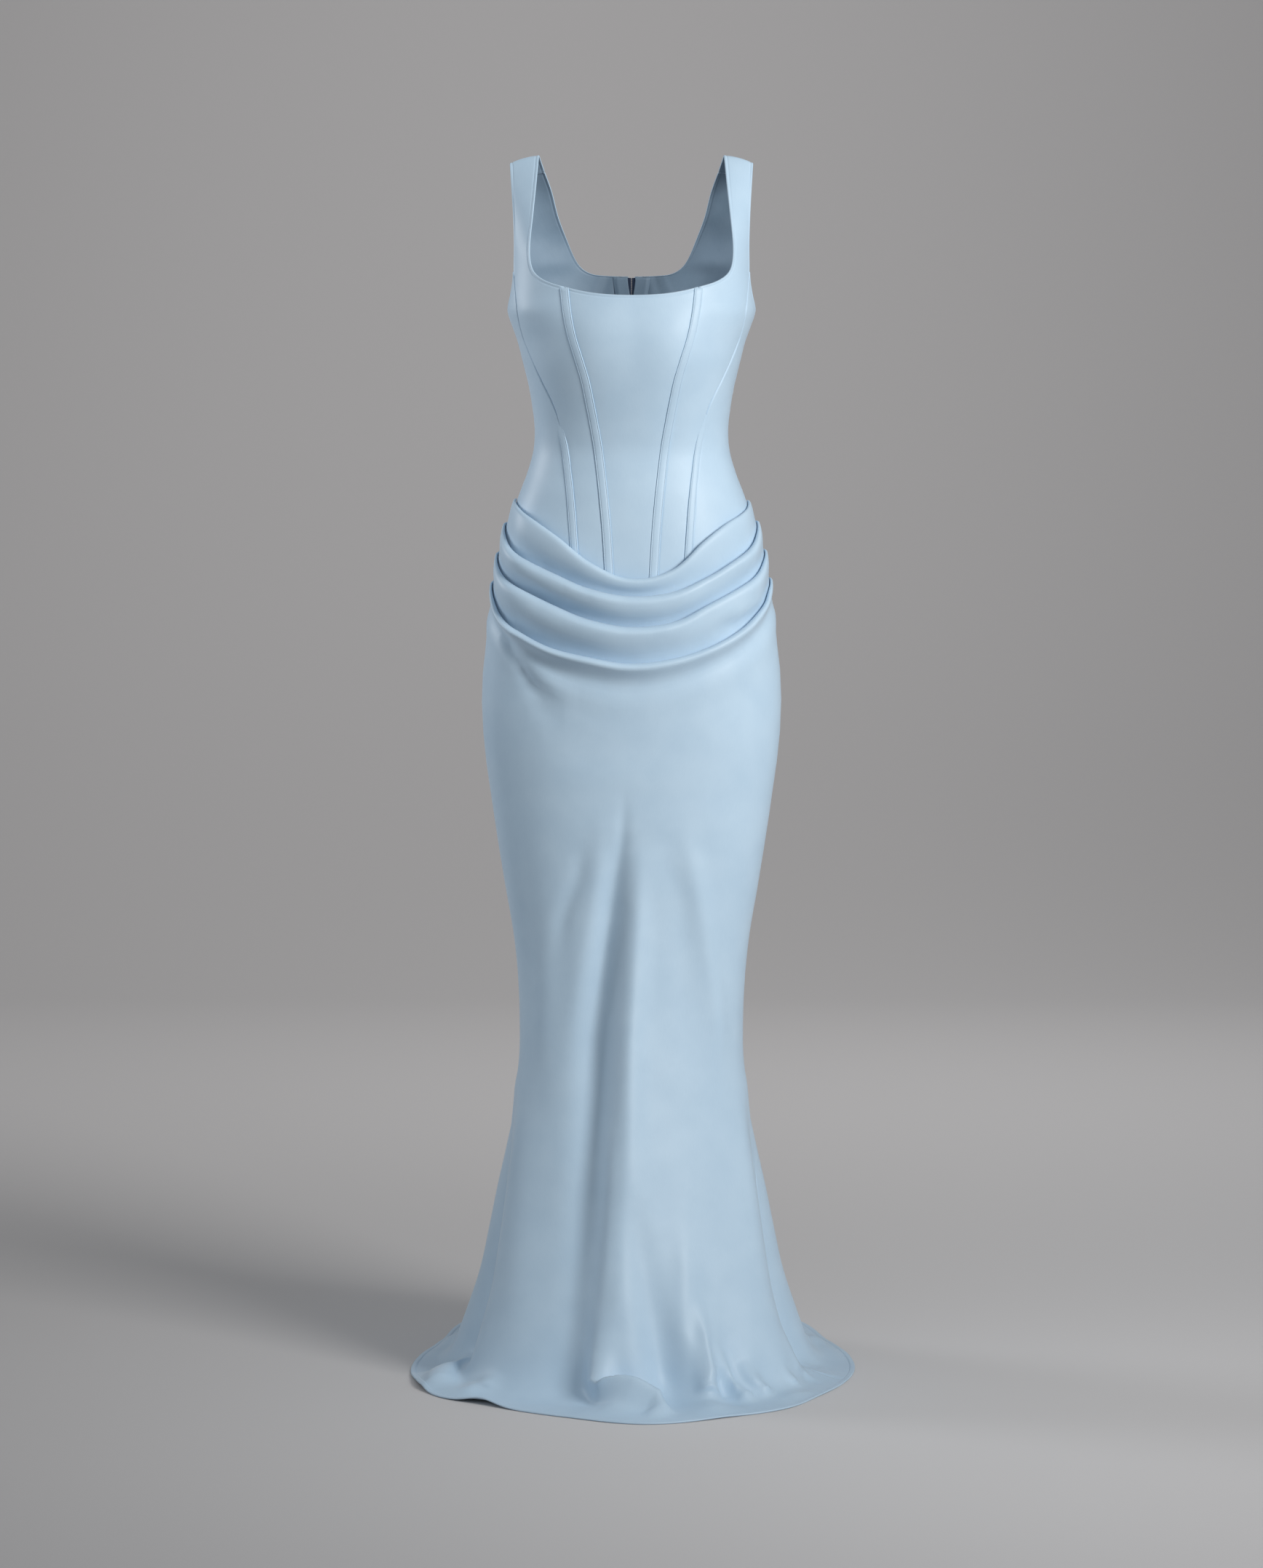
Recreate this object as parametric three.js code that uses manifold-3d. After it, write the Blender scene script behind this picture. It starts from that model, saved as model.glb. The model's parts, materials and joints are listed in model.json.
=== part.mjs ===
// Floor-length corset dress in satin, filled out and standing as if worn, in millimetres with +Z up.
// The origin is midway between the tops of the two shoulder straps. The front faces -Y.
// Places on the dress are given by a turn round the body, in degrees from the front centre towards +X,
// and by a height above the floor. Below the ankle the height runs on as a length along the cloth.

import * as THREE from 'three';
import Module from 'manifold-3d';
import { mergeVertices } from 'three/addons/utils/BufferGeometryUtils.js';

// Driving sizes
const SHOULDER_HEIGHT = 1438;
const SKIRT_CLOTH = 1.2;
const BODICE_CLOTH = 1.6;
const SEAM_GAP = 0.3;
const CHANNEL_WIDTH = 10.4;
const CHANNEL_LIFT = 0.45;
const CHANNEL_EDGE = 0.6;
const CHANNEL_CROWN = 1.1;
const NECKLINE_CENTRE = 1271;
const NECKLINE_RISE = 10;
const UNDERARM_HEIGHT = 1257;
const ARMHOLE_FRONT = 1303;
const ARMHOLE_BACK = 1305;
const BACK_NECK_HEIGHT = 1301.3;
const WAIST_SEAM_SIDE = 1035;
const WAIST_SEAM_BACK = 1020;
const ZIP_END = 880;
const ZIP_SHUT = 0.4;
const ZIP_OPEN = 4;
const SLIDER_HEIGHT = 1268;
const KNEE_HEIGHT = 423;
const HEM_LENGTH = 80;

// Colours
const SATIN = { color: 0xb0cbe0, roughness: 0.42, metalness: 0 };
const ZIP_TAPE = { color: 0x2c3a52, roughness: 0.8, metalness: 0 };
const ZIP_METAL = { color: 0x9aa9b8, roughness: 0.35, metalness: 1 };

// Rings of the body form: half width, depth in front and behind, and how square the ring is.
const rings = [
  { at: 0, height: 0.8, half: 236, front: 206, back: 292, power: 2 },
  { at: 8, height: 6, half: 230, front: 196, back: 281, power: 2 },
  { at: 20, height: 17, half: 226, front: 187, back: 271, power: 2 },
  { at: 40, height: 38, half: 219, front: 179, back: 261, power: 2 },
  { at: 60, height: 60, half: 211, front: 172, back: 252, power: 2 },
  { at: 114, height: 114, half: 192, front: 153, back: 216, power: 2 },
  { at: 166, height: 166, half: 179.5, front: 138, back: 185, power: 2 },
  { at: 217, height: 217, half: 168, front: 125, back: 161, power: 2 },
  { at: 269, height: 269, half: 154.5, front: 114, back: 141, power: 2.05 },
  { at: 320, height: 320, half: 141.5, front: 105, back: 125, power: 2.1 },
  { at: 372, height: 372, half: 133, front: 98, back: 113, power: 2.15 },
  { at: 423, height: 423, half: 132, front: 93, back: 105, power: 2.2 },
  { at: 475, height: 475, half: 134.1, front: 91, back: 100, power: 2.2 },
  { at: 527, height: 527, half: 139.6, front: 91, back: 98, power: 2.2 },
  { at: 578, height: 578, half: 148.1, front: 92.5, back: 98.5, power: 2.2 },
  { at: 630, height: 630, half: 156.6, front: 95, back: 101.5, power: 2.2 },
  { at: 682, height: 682, half: 164.2, front: 97.5, back: 106.5, power: 2.2 },
  { at: 734, height: 734, half: 170.9, front: 99.5, back: 113.5, power: 2.2 },
  { at: 786, height: 786, half: 174, front: 101, back: 121, power: 2.2 },
  { at: 837, height: 837, half: 173.2, front: 101.5, back: 126, power: 2.2 },
  { at: 889, height: 889, half: 167, front: 100.5, back: 126.5, power: 2.2 },
  { at: 940, height: 940, half: 160, front: 98.5, back: 121, power: 2.2 },
  { at: 991, height: 991, half: 149.5, front: 96.5, back: 110, power: 2.2 },
  { at: 1042, height: 1042, half: 132.5, front: 93.5, back: 95, power: 2.2 },
  { at: 1068, height: 1068, half: 122.6, front: 90, back: 87, power: 2.2 },
  { at: 1094, height: 1094, half: 115.3, front: 88.5, back: 81, power: 2.2 },
  { at: 1119, height: 1119, half: 113.6, front: 94, back: 79.5, power: 2.2 },
  { at: 1145, height: 1145, half: 116.3, front: 101.5, back: 83, power: 2.2 },
  { at: 1170, height: 1170, half: 120.6, front: 108.5, back: 88, power: 2.2 },
  { at: 1196, height: 1196, half: 126.9, front: 114.5, back: 93, power: 2.2 },
  { at: 1221, height: 1221, half: 133.2, front: 118, back: 96, power: 2.2 },
  { at: 1240, height: 1240, half: 140, front: 118, back: 97.5, power: 2.25 },
  { at: 1256, height: 1256, half: 145, front: 116, back: 98.5, power: 2.3 },
  { at: 1275, height: 1275, half: 144, front: 113, back: 99, power: 2.3 },
  { at: 1300, height: 1300, half: 141.5, front: 111, back: 98.5, power: 2.3 },
  { at: 1325, height: 1325, half: 141, front: 106, back: 98, power: 2.3 },
];

// How far the hem lies from the centre of the floor, by compass turn from the front.
const hemReach = [
  { turn: -180, reach: 402 },
  { turn: -150, reach: 372 },
  { turn: -127, reach: 290 },
  { turn: -110, reach: 269 },
  { turn: -80, reach: 262 },
  { turn: -58, reach: 268 },
  { turn: -40, reach: 254 },
  { turn: -17, reach: 263 },
  { turn: 3, reach: 288 },
  { turn: 24, reach: 275 },
  { turn: 40, reach: 274 },
  { turn: 57, reach: 260 },
  { turn: 80, reach: 262 },
  { turn: 110, reach: 277 },
  { turn: 127, reach: 298 },
  { turn: 150, reach: 372 },
  { turn: 180, reach: 402 },
];

// Upright folds of the skirt. Each starts at its top, drifts in turn down to the knee and the floor,
// and pushes the cloth out or draws it in by its depth. Its strength grows with the length below its
// top to the power of its rise, and it fades out at its end.
const skirtFolds = [
  { top: 648, end: -80, high: -4.5, knee: -16, low: -17.5, spread: 6.2, depth: -14, rise: 0.5 },
  { top: 575, end: -80, high: -14, knee: -27, low: -26, spread: 8, depth: -6, rise: 0.8 },
  { top: 640, end: -80, high: 3, knee: -2, low: -8, spread: 6, depth: 9, rise: 0.5 },
  { top: 625, end: 330, high: 26, knee: 46, low: 52, spread: 6, depth: 7, rise: 0.6 },
  { top: 640, end: 360, high: -22, knee: -40, low: -45, spread: 6, depth: -5, rise: 0.6 },
  { top: 780, end: 330, high: -46, knee: -66, low: -70, spread: 9, depth: -5, rise: 0.6 },
  { top: 190, end: -80, high: 9, knee: 9, low: 13, spread: 5, depth: -8, rise: 0.7 },
  { top: 260, end: -80, high: 22, knee: 22, low: 19, spread: 4.5, depth: 7, rise: 1 },
  { top: 345, end: -80, high: -83, knee: -83, low: -81, spread: 10.5, depth: -50, rise: 1 },
  { top: 345, end: -80, high: 83, knee: 83, low: 81, spread: 10.5, depth: -50, rise: 1 },
  { top: 400, end: -80, high: 137, knee: 137, low: 134, spread: 9, depth: -18, rise: 0.8 },
  { top: 380, end: -80, high: -139, knee: -139, low: -136, spread: 10, depth: -20, rise: 0.8 },
  { top: 470, end: -80, high: 160, knee: 160, low: 158, spread: 8, depth: 9, rise: 0.8 },
  { top: 450, end: -80, high: -158, knee: -158, low: -157, spread: 8, depth: 8, rise: 0.8 },
  { top: 520, end: -80, high: 180, knee: 180, low: 180, spread: 7, depth: -10, rise: 0.7 },
];

// Soft rises of the cloth that lies on the floor: where, how far out and how high.
const floorRises = [
  { turn: -3, out: 16, rise: 15, turnSpread: 5, outSpread: 16 },
  { turn: -39, out: 78, rise: 7, turnSpread: 4.5, outSpread: 16 },
  { turn: -60, out: 28, rise: 9, turnSpread: 9, outSpread: 18 },
  { turn: 20, out: 28, rise: 8, turnSpread: 3.5, outSpread: 22 },
  { turn: 48, out: 30, rise: 6, turnSpread: 5, outSpread: 16 },
  { turn: 113, out: 30, rise: 8, turnSpread: 8, outSpread: 24 },
  { turn: -115, out: 28, rise: 7, turnSpread: 8, outSpread: 24 },
  { turn: 158, out: 40, rise: 12, turnSpread: 9, outSpread: 26 },
  { turn: -156, out: 44, rise: 12, turnSpread: 9, outSpread: 26 },
];

// Heights of the drape's lines across the front: its rolled top edge, three folds that lie over
// the layer above them, and two soft hollows.
const drapeLines = [
  { turn: -90, edge: 1038, first: 1010, second: 976, third: 942, fourth: 912, fifth: 872 },
  { turn: -75, edge: 1031, first: 997, second: 960, third: 923, fourth: 899, fifth: 858 },
  { turn: -60, edge: 1022, first: 980, second: 945, third: 901, fourth: 880, fifth: 840 },
  { turn: -45, edge: 1010, first: 966, second: 932, third: 884, fourth: 862, fifth: 824 },
  { turn: -30, edge: 992, first: 952, second: 917, third: 868, fourth: 843, fifth: 806 },
  { turn: -15, edge: 965, first: 936, second: 901, third: 858, fourth: 829, fifth: 786 },
  { turn: 0, edge: 947, first: 927, second: 892, third: 850, fourth: 822, fifth: 775 },
  { turn: 15, edge: 957, first: 932, second: 898, third: 856, fourth: 829, fifth: 784 },
  { turn: 30, edge: 988, first: 948, second: 917, third: 869, fourth: 845, fifth: 798 },
  { turn: 45, edge: 1008, first: 966, second: 934, third: 887, fourth: 863, fifth: 815 },
  { turn: 60, edge: 1019, first: 982, second: 949, third: 909, fourth: 884, fifth: 835 },
  { turn: 75, edge: 1027, first: 999, second: 966, third: 931, fourth: 906, fifth: 860 },
  { turn: 90, edge: 1036, first: 1012, second: 979, third: 946, fourth: 918, fifth: 880 },
];

// Seams of the bodice, as the distance from the centre line at each height.
const bodiceSeams = [
  { height: 920, princess: 24, outer: 61 },
  { height: 954, princess: 25.8, outer: 63.2 },
  { height: 1001, princess: 28.7, outer: 66.5 },
  { height: 1036, princess: 31.8, outer: 69.1 },
  { height: 1069, princess: 35.3, outer: 72.6 },
  { height: 1099, princess: 39, outer: 76.6 },
  { height: 1125, princess: 43.5, outer: 83.5 },
  { height: 1148, princess: 47.9, outer: 91.6 },
  { height: 1174, princess: 53.3, outer: 104.5 },
  { height: 1200, princess: 61, outer: 116.5 },
  { height: 1226, princess: 68.9, outer: 126.5 },
  { height: 1252, princess: 74.1, outer: 132.3 },
  { height: 1281, princess: 77.2, outer: 135.6 },
  { height: 1305, princess: 78.6, outer: 138.2 },
];

// Seam of the bodice back, from the waist seam up to the armhole.
const backSeam = [
  { height: 1015, across: 66 },
  { height: 1068, across: 62.5 },
  { height: 1120, across: 64 },
  { height: 1170, across: 76 },
  { height: 1210, across: 91 },
  { height: 1250, across: 108 },
  { height: 1280, across: 122 },
  { height: 1306, across: 130.5 },
];

// Lower edge of the corset under the drape, by turn from the front centre.
const corsetHem = [
  { turn: 0, height: 926 },
  { turn: 15, height: 937 },
  { turn: 30, height: 965 },
  { turn: 45, height: 986 },
  { turn: 60, height: 997 },
  { turn: 75, height: 1005 },
  { turn: 90, height: 1012 },
];

// Neckline from the princess seam to the foot of the strap, as a distance across and a height.
const frontNeck = [
  { step: 0, across: 77.5, height: 1281 },
  { step: 1, across: 90, height: 1284.5 },
  { step: 2, across: 101, height: 1289 },
  { step: 3, across: 109.5, height: 1294.5 },
  { step: 4, across: 115, height: 1300.5 },
  { step: 5, across: 117.3, height: 1307 },
];
const backNeck = [
  { step: 0, across: 4, height: 1301.3 },
  { step: 1, across: 20, height: 1301.5 },
  { step: 2, across: 34, height: 1302.2 },
  { step: 3, across: 45, height: 1303.2 },
  { step: 4, across: 55, height: 1306.2 },
  { step: 5, across: 62.5, height: 1312 },
];

// The strap's inner and outer edge from the front neckline, over the shoulder, to the back neckline.
const strap = [
  { step: 0, innerX: 117.3, innerY: -69.6, innerZ: 1307, outerX: 138, outerY: -31, outerZ: 1303 },
  { step: 1, innerX: 119, innerY: -65, innerZ: 1325, outerX: 136.4, outerY: -36, outerZ: 1324 },
  { step: 2, innerX: 115.2, innerY: -49, innerZ: 1364, outerX: 137.6, outerY: -27.5, outerZ: 1361 },
  { step: 3, innerX: 111.5, innerY: -26, innerZ: 1404, outerX: 139.8, outerY: -14, outerZ: 1398 },
  { step: 4, innerX: 109.3, innerY: -9, innerZ: 1430, outerX: 141.2, outerY: -5, outerZ: 1421.5 },
  { step: 5, innerX: 108.4, innerY: 0, innerZ: 1438, outerX: 141.8, outerY: 1, outerZ: 1429 },
  { step: 6, innerX: 106.6, innerY: 9, innerZ: 1433, outerX: 140.8, outerY: 8, outerZ: 1424 },
  { step: 7, innerX: 102.4, innerY: 22, innerZ: 1421, outerX: 137.8, outerY: 19, outerZ: 1413.5 },
  { step: 8, innerX: 94.5, innerY: 45, innerZ: 1399, outerX: 131, outerY: 38, outerZ: 1393 },
  { step: 9, innerX: 87.5, innerY: 62, innerZ: 1371, outerX: 126.5, outerY: 50, outerZ: 1366 },
  { step: 10, innerX: 78.7, innerY: 78, innerZ: 1347, outerX: 125.5, outerY: 54.5, outerZ: 1343 },
  { step: 11, innerX: 70, innerY: 87, innerZ: 1325, outerX: 127.5, outerY: 51, outerZ: 1322 },
  { step: 12, innerX: 62.5, innerY: 91.2, innerZ: 1312, outerX: 130, outerY: 46, outerZ: 1305 },
];
const SHOULDER_SEAM = 7;
const STRAP_END = 12;
const STRAP_CROWN = 1.8;

// Bust form: two soft mounds under the princess seams.
const CUP_ACROSS = 60;
const CUP_HEIGHT = 1207;
const CUP_RISE = 6;
const CUP_WIDTH = 36;
const CUP_TALL = 36;

const toRadians = THREE.MathUtils.degToRad;
const toDegrees = THREE.MathUtils.radToDeg;
const mix = THREE.MathUtils.lerp;
const ease = THREE.MathUtils.smoothstep;

// Smooth value of a table's column at a key: cubic pieces whose slopes come from the neighbours.
function valueAt(table, key, column, at) {
  const last = table.length - 1;
  const place = THREE.MathUtils.clamp(at, table[0][key], table[last][key]);
  let i = 0;
  while (i < last - 1 && table[i + 1][key] < place) i += 1;
  const slope = (k) => {
    const before = table[Math.max(k - 1, 0)];
    const after = table[Math.min(k + 1, last)];
    return (after[column] - before[column]) / (after[key] - before[key]);
  };
  const span = table[i + 1][key] - table[i][key];
  const t = (place - table[i][key]) / span;
  const start = table[i][column];
  const end = table[i + 1][column];
  const leave = slope(i) * span;
  const arrive = slope(i + 1) * span;
  const bend = t * t * (3 - 2 * t);
  return start + (end - start) * bend + leave * t * (1 - t) ** 2 - arrive * t * t * (1 - t);
}

// A bell of height one at zero.
function bell(distance, spread) {
  return Math.exp(-0.5 * (distance / spread) ** 2);
}

// Smallest difference of two turns, in degrees.
function turnBetween(a, b) {
  return THREE.MathUtils.euclideanModulo(a - b + 180, 360) - 180;
}

// Point of the plain body form. A ring is a superellipse; past the floor ring the cloth runs out to the hem.
function ringPoint(turn, at) {
  const ring = (column) => valueAt(rings, 'at', column, at);
  const angle = toRadians(turn);
  const exponent = 2 / ring('power');
  const sine = Math.sin(angle);
  const cosine = Math.cos(angle);
  const depth = cosine > 0 ? -ring('front') : ring('back');
  const x = ring('half') * Math.sign(sine) * Math.abs(sine) ** exponent;
  const y = depth * Math.abs(cosine) ** exponent;
  const point = new THREE.Vector3(x, y, ring('height'));
  if (cosine > 0 && at > 1080) {
    const cup = bell(Math.abs(x) - CUP_ACROSS, CUP_WIDTH) * bell(at - CUP_HEIGHT, CUP_TALL);
    point.y -= CUP_RISE * cup * Math.min(1, cosine * 2);
  }
  if (at < 0) {
    const compass = Math.atan2(x, -y);
    const reach = valueAt(hemReach, 'turn', 'reach', toDegrees(compass));
    const hem = new THREE.Vector3(Math.sin(compass) * reach, -Math.cos(compass) * reach, point.z);
    point.lerp(hem, -at / HEM_LENGTH);
  }
  return point;
}

// Outward direction of the plain body form.
function ringNormal(turn, at) {
  const step = 0.6;
  const round = ringPoint(turn + step, at).sub(ringPoint(turn - step, at));
  const up = ringPoint(turn, at + step).sub(ringPoint(turn, at - step));
  return round.cross(up).normalize();
}

// How far the upright folds push the cloth out at a place.
function foldPush(turn, at) {
  let push = 0;
  for (const fold of skirtFolds) {
    if (at >= fold.top) continue;
    const grown = Math.min(1, (fold.top - at) / (fold.top - 60)) ** fold.rise;
    const fade = fold.end > 0 ? ease(at, fold.end, fold.end + 120) : ease(at, -HEM_LENGTH, 30);
    const lean = at > KNEE_HEIGHT
      ? mix(fold.knee, fold.high, (at - KNEE_HEIGHT) / (fold.top - KNEE_HEIGHT))
      : mix(fold.low, fold.knee, Math.max(at, 0) / KNEE_HEIGHT);
    push += fold.depth * grown * fade * bell(turnBetween(turn, lean), fold.spread);
  }
  return push;
}

// How high the cloth on the floor is lifted at a place.
function floorRise(turn, at) {
  if (at > 60) return 0;
  let lift = 0;
  for (const rise of floorRises) {
    const round = bell(turnBetween(turn, rise.turn), rise.turnSpread);
    lift += rise.rise * round * bell(-at - rise.out, rise.outSpread);
  }
  return lift * ease(60 - at, 0, 40);
}

// Point of the cloth: the body form with its folds, moved out along the form's own direction.
function clothPoint(turn, at, lift) {
  const normal = ringNormal(turn, at);
  const level = new THREE.Vector3(Math.sin(toRadians(turn)), -Math.cos(toRadians(turn)), 0);
  const point = ringPoint(turn, at);
  point.addScaledVector(level, foldPush(turn, at));
  point.z += floorRise(turn, at);
  return point.addScaledVector(normal, lift);
}

// Turn of a place in front given by its distance from the centre line.
function frontTurn(across, height) {
  const share = Math.min(1, across / valueAt(rings, 'at', 'half', height));
  return toDegrees(Math.asin(share ** (valueAt(rings, 'at', 'power', height) / 2)));
}

function backTurn(across, height) {
  return 180 - frontTurn(across, height);
}

// Turn that lies a distance round the body from another turn.
function shiftedTurn(turn, at, distance) {
  const step = 1;
  const speed = ringPoint(turn + step, at).distanceTo(ringPoint(turn - step, at)) / (2 * step);
  return turn + distance / speed;
}

// Closed wall between two grids of points that have the same rows and columns.
function wallBetween(outside, inside) {
  const rows = outside.length;
  const columns = outside[0].length;
  const points = [...outside.flat(), ...inside.flat()];
  const half = rows * columns;
  const faces = [];
  const quad = (a, b, c, d) => faces.push(a, b, c, a, c, d);
  for (let i = 0; i + 1 < rows; i += 1) {
    for (let j = 0; j + 1 < columns; j += 1) {
      const a = i * columns + j;
      quad(a, a + 1, a + columns + 1, a + columns);
      quad(half + a, half + a + columns, half + a + columns + 1, half + a + 1);
    }
  }
  const rim = [];
  for (let j = 0; j < columns - 1; j += 1) rim.push(j);
  for (let i = 0; i < rows - 1; i += 1) rim.push(i * columns + columns - 1);
  for (let j = columns - 1; j > 0; j -= 1) rim.push((rows - 1) * columns + j);
  for (let i = rows - 1; i > 0; i -= 1) rim.push(i * columns);
  rim.forEach((a, k) => {
    const b = rim[(k + 1) % rim.length];
    quad(b, a, half + a, half + b);
  });
  let volume = 0;
  for (let k = 0; k < faces.length; k += 3) {
    const [a, b, c] = [points[faces[k]], points[faces[k + 1]], points[faces[k + 2]]];
    volume += a.dot(new THREE.Vector3().crossVectors(b, c));
  }
  if (volume < 0) faces.reverse();
  const geometry = new THREE.BufferGeometry();
  geometry.setAttribute('position', new THREE.Float32BufferAttribute(points.flatMap((p) => p.toArray()), 3));
  geometry.setIndex(faces);
  geometry.computeVertexNormals();
  return geometry;
}

// Direction across a surface given by two parameters, from its own slopes.
function surfaceNormal(at, v, r) {
  const step = 0.004;
  const across = at(v + step, r).sub(at(v - step, r));
  const along = at(v, r + step).sub(at(v, r - step));
  return across.cross(along).normalize();
}

// Wall of a panel: a surface of two parameters, with its lifts outside and inside.
function panelWall(at, columns, rows, outward, outer, inner) {
  const grid = (lift) => rows.map((r) => columns.map((v) => {
    const normal = surfaceNormal(at, v, r).multiplyScalar(outward);
    return at(v, r).addScaledVector(normal, lift(v));
  }));
  return wallBetween(grid(outer), grid(inner));
}

function evenly(count, from = 0, to = 1) {
  return Array.from({ length: count + 1 }, (_, i) => mix(from, to, i / count));
}

// Bodice rows. The princess seam and the neckline share the inner edge of the side front.
const SEAM_ROWS = 12;
const NECK_ROWS = 5;
const NECK_STEPS = 5;
const BODY_ROWS = SEAM_ROWS + NECK_ROWS;
const PRINCESS_TOP = NECKLINE_CENTRE + NECKLINE_RISE;

// Turns at which the two front seams meet the lower edge of the corset.
const PRINCESS_FOOT = 7.4;
const OUTER_FOOT = 20.5;

function princessHeight(share) {
  return mix(valueAt(corsetHem, 'turn', 'height', PRINCESS_FOOT), PRINCESS_TOP, share);
}

function princessTurn(height) {
  return frontTurn(valueAt(bodiceSeams, 'height', 'princess', height), height);
}

function outerTurn(height) {
  return frontTurn(valueAt(bodiceSeams, 'height', 'outer', height), height);
}

// Centre front, from princess seam to princess seam.
function centreFront(v, r) {
  const top = NECKLINE_CENTRE + NECKLINE_RISE * v * v;
  const bottom = valueAt(corsetHem, 'turn', 'height', Math.abs(v) * PRINCESS_FOOT);
  const height = mix(bottom, top, r);
  const edge = shiftedTurn(princessTurn(height), height, -SEAM_GAP / 2);
  return ringPoint(edge * v, height);
}

// Point of the strap between its edges, slightly rounded across.
function strapPoint(v, step) {
  const edge = (name) => new THREE.Vector3(
    valueAt(strap, 'step', `${name}X`, step),
    valueAt(strap, 'step', `${name}Y`, step),
    valueAt(strap, 'step', `${name}Z`, step),
  );
  const inner = edge('inner');
  const outer = edge('outer');
  const point = inner.clone().lerp(outer, v);
  const away = new THREE.Vector3(point.x * 0.4, point.y, (point.z - 1330) * 0.6).normalize();
  return point.addScaledVector(away, STRAP_CROWN * 4 * v * (1 - v));
}

// Gap at each side of the shoulder seam, as a part of one step of the strap.
const STRAP_GAP = 0.012;

// Side front with its strap. Rows up to one lie on the body, rows from one to two on the strap.
function sideFront(v, r) {
  if (r > 1) return strapPoint(v, (r - 1) * (SHOULDER_SEAM - STRAP_GAP));
  const seamShare = (r * BODY_ROWS) / SEAM_ROWS;
  const onSeam = seamShare <= 1;
  const step = ((r * BODY_ROWS - SEAM_ROWS) / NECK_ROWS) * NECK_STEPS;
  const innerHeight = onSeam ? princessHeight(seamShare) : valueAt(frontNeck, 'step', 'height', step);
  const innerTurn = onSeam
    ? shiftedTurn(princessTurn(innerHeight), innerHeight, SEAM_GAP / 2)
    : frontTurn(valueAt(frontNeck, 'step', 'across', step), innerHeight);
  const outerHeight = mix(valueAt(corsetHem, 'turn', 'height', OUTER_FOOT), ARMHOLE_FRONT, r);
  const outer = shiftedTurn(outerTurn(outerHeight), outerHeight, -SEAM_GAP / 2);
  return ringPoint(mix(innerTurn, outer, v), mix(innerHeight, outerHeight, v));
}

// Side panel from the outer seam to the side seam, cut out at the top for the arm.
function sidePanel(v, r) {
  const top = UNDERARM_HEIGHT + (ARMHOLE_FRONT - UNDERARM_HEIGHT) * Math.abs(1 - v) ** 1.6;
  const bottom = valueAt(corsetHem, 'turn', 'height', mix(OUTER_FOOT, 90, v));
  const height = mix(bottom, top, r);
  const start = shiftedTurn(outerTurn(height), height, SEAM_GAP / 2);
  const end = shiftedTurn(90, height, -SEAM_GAP / 2);
  return ringPoint(mix(start, end, v), height);
}

function backSeamTurn(height) {
  return backTurn(valueAt(backSeam, 'height', 'across', height), height);
}

// Height of the seam that joins the bodice back to the skirt back, dipping from the side to the centre.
function waistSeam(turn) {
  return mix(WAIST_SEAM_BACK, WAIST_SEAM_SIDE, (180 - turn) / 90);
}

const BACK_SEAM_FOOT = backSeamTurn(WAIST_SEAM_BACK + 4);

// Side back from the side seam to the back seam.
function sideBack(v, r) {
  const top = UNDERARM_HEIGHT + (ARMHOLE_BACK - UNDERARM_HEIGHT) * Math.abs(v) ** 1.6;
  const height = mix(waistSeam(mix(90, BACK_SEAM_FOOT, v)) + SEAM_GAP, top, r);
  const start = shiftedTurn(90, height, SEAM_GAP / 2);
  const end = shiftedTurn(backSeamTurn(height), height, -SEAM_GAP / 2);
  return ringPoint(mix(start, end, v), height);
}

// Half the opening between the zip edges: shut below the slider, a narrow V above it.
function zipGap(height, open) {
  return mix(ZIP_SHUT, open, ease(height, SLIDER_HEIGHT, BACK_NECK_HEIGHT));
}

// Back with its strap, from the zip to the back seam.
function back(v, r) {
  if (r > 1) return strapPoint(v, STRAP_END - (r - 1) * (STRAP_END - SHOULDER_SEAM - STRAP_GAP));
  const zipShare = (r * BODY_ROWS) / SEAM_ROWS;
  const onZip = zipShare <= 1;
  const step = ((r * BODY_ROWS - SEAM_ROWS) / NECK_ROWS) * NECK_STEPS;
  const innerHeight = onZip
    ? mix(waistSeam(180) + SEAM_GAP, BACK_NECK_HEIGHT, zipShare)
    : valueAt(backNeck, 'step', 'height', step);
  const across = onZip ? zipGap(innerHeight, ZIP_OPEN) : valueAt(backNeck, 'step', 'across', step);
  const innerTurn = backTurn(across, innerHeight);
  const outerHeight = mix(waistSeam(BACK_SEAM_FOOT) + SEAM_GAP, ARMHOLE_BACK, r);
  const outer = shiftedTurn(backSeamTurn(outerHeight), outerHeight, SEAM_GAP / 2);
  return ringPoint(mix(innerTurn, outer, v), mix(innerHeight, outerHeight, v));
}

// Boning channel along the princess seam, from under the drape to the neckline.
function princessChannel(v, r) {
  const height = princessHeight(r);
  return ringPoint(shiftedTurn(princessTurn(height), height, v * CHANNEL_WIDTH / 2), height);
}

// Boning channel over the outer seam, a little more behind it than in front, on the side panel's rows.
const CHANNEL_SETBACK = -3.7;

function outerChannel(v, r) {
  const share = 0.2;
  const width = sidePanel(share, r).distanceTo(sidePanel(0, r)) / share;
  return sidePanel((CHANNEL_SETBACK + (v + 1) * CHANNEL_WIDTH / 2) / width, r);
}

// Skirt. Folded layers of the drape lie on each other; each fold turns under, comes back up and
// rolls over the layer above it. The rolls are full in front and pinched at the side seams.
const TURN_UNDER = 12;
const TUCK_RADIUS = 1.2;
const EDGE_ALLOWANCE = 13;
const ROLLS = { edge: 2.2, first: 3.2, second: 3.4, third: 3 };
const SKIRT_HEIGHTS = [700, 660, 620, 580, 540, 500, 460, 420, 380, 340, 300, 262, 226, 190, 156, 122, 92,
  66, 44, 26, 13, 5, 0, -14, -36, -58, -HEM_LENGTH];

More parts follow.
